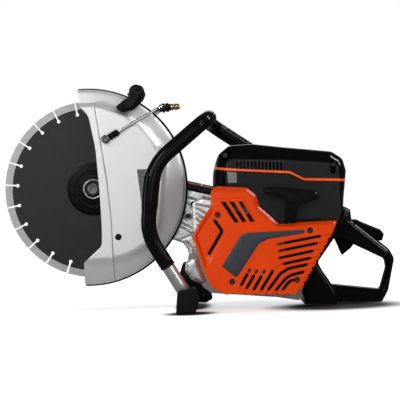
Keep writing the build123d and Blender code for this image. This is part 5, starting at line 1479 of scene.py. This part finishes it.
def water_kit():
    x, z = WATER_PORT
    reach = math.hypot(TEE_AT[0] - x, TEE_AT[1] - z)
    ux, uz = (TEE_AT[0] - x) / reach, (TEE_AT[1] - z) / reach
    dark, bright, pipes = [], [], []
    for wall_y, way in ((22.0, -1), (84.0, 1)):
        y = wall_y + way * 7
        body = [(0, 0), (8.0, 0, 0.6), (8.0, 3.5, 0.3), (7.3, 4, 0.3), (7.3, 10, 0.5), (8.0, 10.5, 0.4),
                (8.0, 12.6, 0.8), (0, 12.6)]
        dark.append(lathe((x, z), eased(standing(body, wall_y, way), 0.4), 48))
        dark.append(ribbed_tail((x, y, z), (ux, 0, uz), 30, 5.4, 6.9))
        bolt_y = wall_y + way * 12.5
        cup = [(0, 0), (7.6, 0), (7.6, 0.9), (6.6, 1.3), (0, 1.3)]
        bright.append(lathe((x, z), eased(standing(cup, bolt_y, way), 0.25), 48))
        bright.append(socket_screw((x, z), bolt_y + way * 1.0, way, radius=5.6, height=3.0, socket=2.9,
                                   depth=2.4))
        line = route([(x + 20 * ux, y, z + 20 * uz), (TEE_AT[0], y, TEE_AT[1]),
                      (TEE_AT[0], BLADE_Y + way * 9, TEE_AT[1])], [12], 2.0)
        pipes.append(tube(line, [(15.0 * k, 3.1) for k in range(24)]))
    piece("water_elbows", dark, BLACK, "water_fittings", body="guard")
    piece("water_banjo_bolts", bright, BOLT_BRIGHT, body="guard")
    piece("water_tubes", pipes, CHROME, "water_pipes", body="guard", sharp=50)
    tx, tz = TEE_AT
    along = Vector((16, 0, 1.2)).normalized()
    block = lathe_along((tx - 7, BLADE_Y, tz - 0.5), along,
                        [(0, 5.5), (0.8, 7.2), (3.5, 7.6), (3.9, 6.4), (5.6, 6.4), (6.0, 8.8), (6.8, 9.4),
                         (10.4, 9.4), (11, 8.8), (11.3, 7.0), (12.8, 7.0), (13.2, 8.6), (13.8, 9.0),
                         (18, 9.0), (18.6, 8.4), (19, 7.0), (22.6, 7.0), (23, 6.0)], 48)
    cross = lathe_along((tx, BLADE_Y - 18.5, tz), (0, 1, 0),
                        [(0, 3.2), (0, 5.8), (0.8, 6.6), (4, 6.6), (4.6, 6.0), (10, 6.0), (27, 6.0),
                         (32.4, 6.0), (33, 6.6), (36.2, 6.6), (37, 5.8), (37, 3.2)], 40)
    piece("water_tee", [block, cross], BLACK, body="guard")
    nipple = lathe_along((tx + 12, BLADE_Y, tz + 1), (1, 0, 0.04),
                         [(0, 5.0), (3.8, 5.0), (4.2, 6.3), (5, 6.7), (8.6, 6.7), (9.2, 6.0), (9.6, 5.0),
                          (11.4, 5.0), (11.8, 6.2), (12.3, 6.6), (16.0, 6.6), (16.6, 5.9), (17.6, 5.7),
                          (18.2, 5.9), (21.4, 5.5), (21.9, 5.0), (21.9, 3.6), (21.2, 3.2), (6, 3.2)], 48)
    piece("inlet_nipple", nipple, BRASS, "water_inlet_nipple", body="guard")


# ---------------------------------------------------------------- arm and belt side
ARM_FRONT, ARM_FRONT_R = (-203.0, 243.0), 50.0
ARM_REAR, ARM_REAR_R = (94.0, 150.0), 66.0
LID_SCREWS = [(-242.0, 265.6), (-120.0, 258.0), (10.0, 222.0), (136.0, 192.5), (122.0, 99.0), (-10.0, 129.0),
              (-150.0, 179.0)]
ARM_FLOOR_Y = 94.0
ARM_BOLTS = [(60.0, 187.0), (127.0, 182.0), (43.0, 136.0), (145.0, 136.0)]


def belt_face(grow=0.0):
    """Loop round the two ends of the arm, with straight tangents between them."""
    a, b = np.array(ARM_FRONT), np.array(ARM_REAR)
    ra, rb = ARM_FRONT_R + grow, ARM_REAR_R + grow
    gap = np.linalg.norm(b - a)
    lean = math.atan2(b[1] - a[1], b[0] - a[0])
    open_by = math.acos((ra - rb) / gap)
    loop = []
    for centre, r, first, last in ((a, ra, lean + open_by, lean + 2 * math.pi - open_by),
                                   (b, rb, lean - open_by, lean + open_by)):
        count = max(12, int((last - first) * r / 4))
        for k in range(count + 1):
            t = first + (last - first) * k / count
            loop.append(centre + r * np.array([math.cos(t), math.sin(t)]))
    return tidy_loop(np.array(loop))


def cut_by(loop, a, b):
    """Part of a convex loop to the left of the line from a to b."""
    a, b = np.array(a, float), np.array(b, float)
    way = b - a
    side = way[0] * (loop[:, 1] - a[1]) - way[1] * (loop[:, 0] - a[0])
    out = []
    for i in range(len(loop)):
        j = (i + 1) % len(loop)
        if side[i] >= 0:
            out.append(loop[i])
        if (side[i] >= 0) != (side[j] >= 0):
            t = side[i] / (side[i] - side[j])
            out.append(loop[i] + (loop[j] - loop[i]) * t)
    return tidy_loop(np.array(out))


def left_to_right(p):
    """Sorting place of a point along the top of the arm, whose front end bends down."""
    return p[0] + 263 if p[0] > -228 else p[1] - 500


def band_loop(outer, inner):
    """Closed loop of two lines that run beside each other."""
    outer, inner = (sorted(line, key=left_to_right) for line in (outer, inner))
    return tidy_loop(np.array(outer + inner[::-1]))


def arm():
    outer = belt_face()
    screws_at = ((-7.1, 203.1), (-18.0, 179.4))
    streaks = [((-37, 225), (-2, 212)), ((-38, 214), (-4, 200)), ((-37, 203), (-24, 197)),
               ((-38, 170), (-6, 152)), ((-36, 160), (-4, 142)), ((-38, 192), (-26, 186)),
               ((-4, 190), (24, 152)), ((-58, 228), (-44, 224)), ((-60, 212), (-44, 206)),
               ((-60, 190), (-42, 184)), ((-52, 176), (-42, 172)), ((14, 216), (34, 206))]
    steps = [(slot(line, 4.6, 5), 2.6, 2.2) for line in streaks]
    steps += [(slot([(-146, 214 + 19 * k), (-70, 192 + 17 * k)], 5.0, 4), 2.4, 1.8) for k in range(4)]
    holes = [circle(SPINDLE, 21.2, 48), circle(CRANK, 43, 60)]
    floor = plate(outer, 88.0, ARM_FLOOR_Y, holes=holes, edge=1.0, steps=steps, spacing=8)
    inner = offset(outer, 5.0)[0][:-1]
    wall = plate(outer, ARM_FLOOR_Y, 126.0, holes=[tidy_loop(inner)], edge=0.05, spacing=30)
    hub = lathe(SPINDLE, eased([(21.2, 71.2), (35, 71.2, 1.0), (35, 88.1), (21.2, 88.1)], 0.4), 72)
    pads = [plate(circle(p, 9.5, 30), 85.6, 88.4, edge=0.8, spacing=9) for p in screws_at]
    piece("arm_casting", [floor, wall, hub] + pads, CAST_BRIGHT, "cutting_arm", sharp=40)
    screws = [socket_screw(p, 85.6, -1, radius=5.6, height=4.0, socket=3.0) for p in screws_at]
    piece("arm_screws", screws, SCREW_BLACK)
    # Dark strip along the top of the casting, under the thin bright trim.
    over, under = ([p for p in dense(belt_face(-inset), 5) if -90 < p[0] < 60 and p[1] > 200]
                   for inset in (0.4, 15.0))
    strip = plate(band_loop(over, under), 85.0, 88.3, edge=0.6, far_edge=0.1, spacing=8)
    piece("arm_top_strip", strip, BLACK)


def castings():
    """Ribbed end of the silencer, the neck under the arm and the polished bulge of the crankcase."""
    fan = [((0, 203), (35, 195)), ((0, 195), (35, 176)), ((0, 186), (35, 157)), ((0, 176), (30, 138)),
           ((0, 164), (19, 131)), ((0, 150), (9, 129))]
    steps = [(slot(line, 4.6, 5), 2.4, 2.0) for line in fan]
    end_plate = plate([(-7.5, 117, 8), (39.5, 117, 2), (39.5, 207, 8), (11, 213, 4), (-7.5, 205, 8)], -54.0,
                      -50.1, edge=1.2, far_edge=0.2, steps=steps, spacing=6)
    piece("silencer_end", end_plate, CAST_BRIGHT, sharp=40)
    neck = plate([(-36, 137, 3), (-8, 146, 2), (6, 100, 2), (-2, 86, 2), (-23, 90, 3), (-17.5, 103, 10),
                          (-19, 118, 12), (-27, 129, 8)], -52.0, 84.0, edge=2.5, far_edge=0.5, spacing=5,
                 steps=[(slot([(-22, 134), (-10, 122), (-7, 96)], 4.0, 5), 1.6, 1.6)])
    bulge = pillow([(-12, 103, 8), (-1, 105, 5), (4, 84, 4), (15, 56, 5), (5, 51, 6), (-15, 60, 9),
                    (-27, 78, 9), (-24, 93, 9)], -60.0, 7.0, 9.0, spacing=4.0)
    piece("crankcase_casting", [neck, bulge], CAST_BRIGHT, sharp=45)


def lid(outer, grooves):
    """Half of the belt-side lid: domed edge, pads for its screws and pressed or raised bars."""
    outer = dense(outer, 5)
    held = [p for p in LID_SCREWS if within(np.array([p]), outer)[0]]
    pads = [(circle(p, 8.0, 30), 1.4, 1.2) for p in held]
    wells = [circle(p, 2.4, 16) for p in held]
    face = belt_face()
    guides = edge_rings(outer, 3.0, 4) + step_guides(grooves + pads)
    guides = clipped(guides, outer, wells) + clipped(offset(face, 5.0) + offset(face, 5.6), outer, wells)
    points, faces = flat_mesh([outer], wells, guides, 6.0)
    to_face = distance(points, face)
    near = 132.0 - roll(to_face, 3.0) - roll(np.maximum(distance(points, outer), 0), 0.6)
    near = near + relief(points, grooves + pads)
    far = np.where(to_face > 5.3, 129.5, 126.1)
    far = np.minimum(far, near - 0.6)
    return lens_rows(points, faces, far, near)


def beside(loop, x, sign):
    """The part of a loop left (-1) or right (1) of a height line."""
    return cut_by(loop, (x, 400), (x, 0)) if sign > 0 else cut_by(loop, (x, 0), (x, 400))


def above_slope(p):
    """Whether a point lies above the line where the belt guard's skirt ends."""
    return p[1] > 268 + (p[0] + 300) * (-128 / 500)


def skirt(x, sign):
    """Part of the skirt over the top of the arm, left or right of the joint in the lid."""
    face = belt_face(0.15)
    top = beside(cut_by(belt_face(4.0), (-300, 268), (200, 140)), x, sign)
    over = [p for p in top if signed(np.array([p]), face)[0] < -1.0]
    under = [p for p in dense(face, 5) if sign * (p[0] - x) > 0 and above_slope(p)]
    return plate(band_loop(over, under), 104.0, 128.0, edge=0.5, far_edge=0.8, spacing=8)


def belt_side():
    face = belt_face()
    split_x, gap = 12.0, 0.6
    bars = [(slot([(-224, 262 - 15 * k), (-60 + 6 * k, 214 - 15 * k)], 7.0, 6), -1.6, 1.6) for k in range(3)]
    bars.append((circle(SPINDLE, 24, 60), 1.2, 1.4))
    front = [lid(beside(face, split_x, -1), bars), skirt(split_x, -1)]
    piece("belt_guard_lid", front, DARK_GREY, "belt_guard", sharp=40)
    fins = [(slot([(44, 196 - 17 * k), (146, 180 - 17 * k)], 4.2, 6), -2.0, 0.9) for k in range(6)]
    fins.append(([(30, 212, 5), (30, 104, 12), (60, 96, 8), (140, 96, 20), (154, 120, 10), (154, 186, 16),
                  (118, 206, 10)], 0.9, 1.8))
    rear = [lid(beside(face, split_x + gap, 1), fins), skirt(split_x + gap, 1)]
    piece("clutch_lid", rear, BLACK, "clutch_cover", sharp=40)
    over, under = ([p for p in dense(belt_face(grow), 5) if -230 < p[0] < 60 and p[1] > 200
                    and p[1] > 275 - (p[0] + 230) * 75 / 290] for grow in (1.4, 0.1))
    trim = plate(band_loop(over, under), 99.0, 103.8, edge=0.25, spacing=8)
    piece("arm_trim", trim, ORANGE_TRIM, "orange_trim_strips")
    screws = [socket_screw(p, 133.2, 1, radius=4.4, height=2.6) for p in LID_SCREWS]
    screws += [socket_screw(p, ARM_FLOOR_Y, 1, radius=6.5, height=7.0, socket=3.6) for p in ARM_BOLTS]
    tension_at = turned(ARM_FRONT, 170, -17)
    screws.append(hex_head(tension_at, 116.0, 1, 8.0, 6.0))
    screws.append(lathe(tension_at, eased([(0, 94), (6, 94), (6, 116.2), (0, 116.2)], 0.3), 32))
    piece("lid_screws", screws, SCREW_BLACK, "belt_side_bolts")


# ---------------------------------------------------------------- small parts
def small_parts():
    wall_y = 60.0
    profile = [(0, -8), (15.8, -8), (15.8, 3.5), (18.5, 3.6), (20.9, 4.6), (21.0, 11.2), (19.9, 13.2),
               (18.0, 14.0), (16.4, 13.6), (15.6, 10.2), (0, 10.0)]

    def knurl(k, i):
        return 0.95 if i in (4, 5, 6) and k % 4 == 0 else 1.0

    cap = lathe(FUEL_CAP, standing(profile, wall_y), 72, closed=False, dent=knurl)
    bar = plate([(214.5, 120.2, 1.5), (214.5, 123.8, 1.5), (243.5, 123.8, 1.5), (243.5, 120.2, 1.5)],
                wall_y + 13.6, wall_y + 9.0, edge=0.9, spacing=9)
    piece("tank_cap", [cap, bar], BLACK, "fuel_cap", body="fuel_cap", sharp=40)
    choke = lathe(CHOKE_AT, eased([(0, 58), (3, 58), (3, 80.2), (6.0, 80.6, 1), (8.6, 84, 2), (9.0, 88, 0.8),
                                   (7.6, 90, 0.8), (3, 89.2), (0, 89.2)], 0.4), 48)
    rim = lathe(CHOKE_AT, eased([(4.4, 89.0), (6.0, 89.0), (6.0, 89.7), (4.4, 89.7)], 0.2), 48)
    piece("choke_pull", [choke, rim], BLACK, "choke_knob", body="choke_knob")
    valve = lathe(VALVE_AT, eased([(0, 62), (3.5, 62), (3.5, 83.8), (6.4, 84.2, 0.6), (8.0, 85.6, 0.8),
                                   (8.0, 90.4, 1.2), (6.4, 92, 0.8), (3.6, 91.2, 0.8), (0, 91.0)], 0.4), 48)
    piece("valve_button", valve, DARK_GREY, "decompression_button",
          body="decompression_button")
    steps = [([(284.2, 171 + 2.4 * k), (289.8, 171 + 2.4 * k), (289.8, 172 + 2.4 * k),
               (284.2, 172 + 2.4 * k)], 0.5, 0.3) for k in range(3)]
    slide = plate([(283.2, 168.2, 1), (290.8, 168.2, 1), (290.8, 177.8, 1), (283.2, 177.8, 1)], -22.0, -18.6,
                  edge=0.5, steps=steps, spacing=6)
    piece("switch_slide", slide, SWITCH_GREY, "stop_switch", body="stop_switch")
    bolts = [socket_screw(p, 80.0, 1, radius=4.6, height=4.0)
             for p in ((-14, 104), (2, 66), (60, 40), (120, 34), (176, 40), (182, 140))]
    piece("crankcase_screws", bolts, SCREW_BLACK)
    ribs = [plate([(14 + 30 * k, 36 - 2.6 * k, 1), (20 + 30 * k, 36 - 2.6 * k, 1), (24 + 30 * k, 84, 2),
                   (16 + 30 * k, 84, 2)], 83.0, 79.5, edge=1.0, spacing=8) for k in range(6)]
    piece("crankcase_ribs", ribs, CAST_SHADE_DARKENED)


def main():
    studio()
    paint_cad()
    for maker in MAKERS:
        maker()


MAKERS = [
    guard, blade_clamp, starter, engine_cover, starter_handle, front_handle, rear_unit, guard_lever,
    water_kit, arm, castings, belt_side, small_parts,
]
main()
bpy.context.view_layer.update()
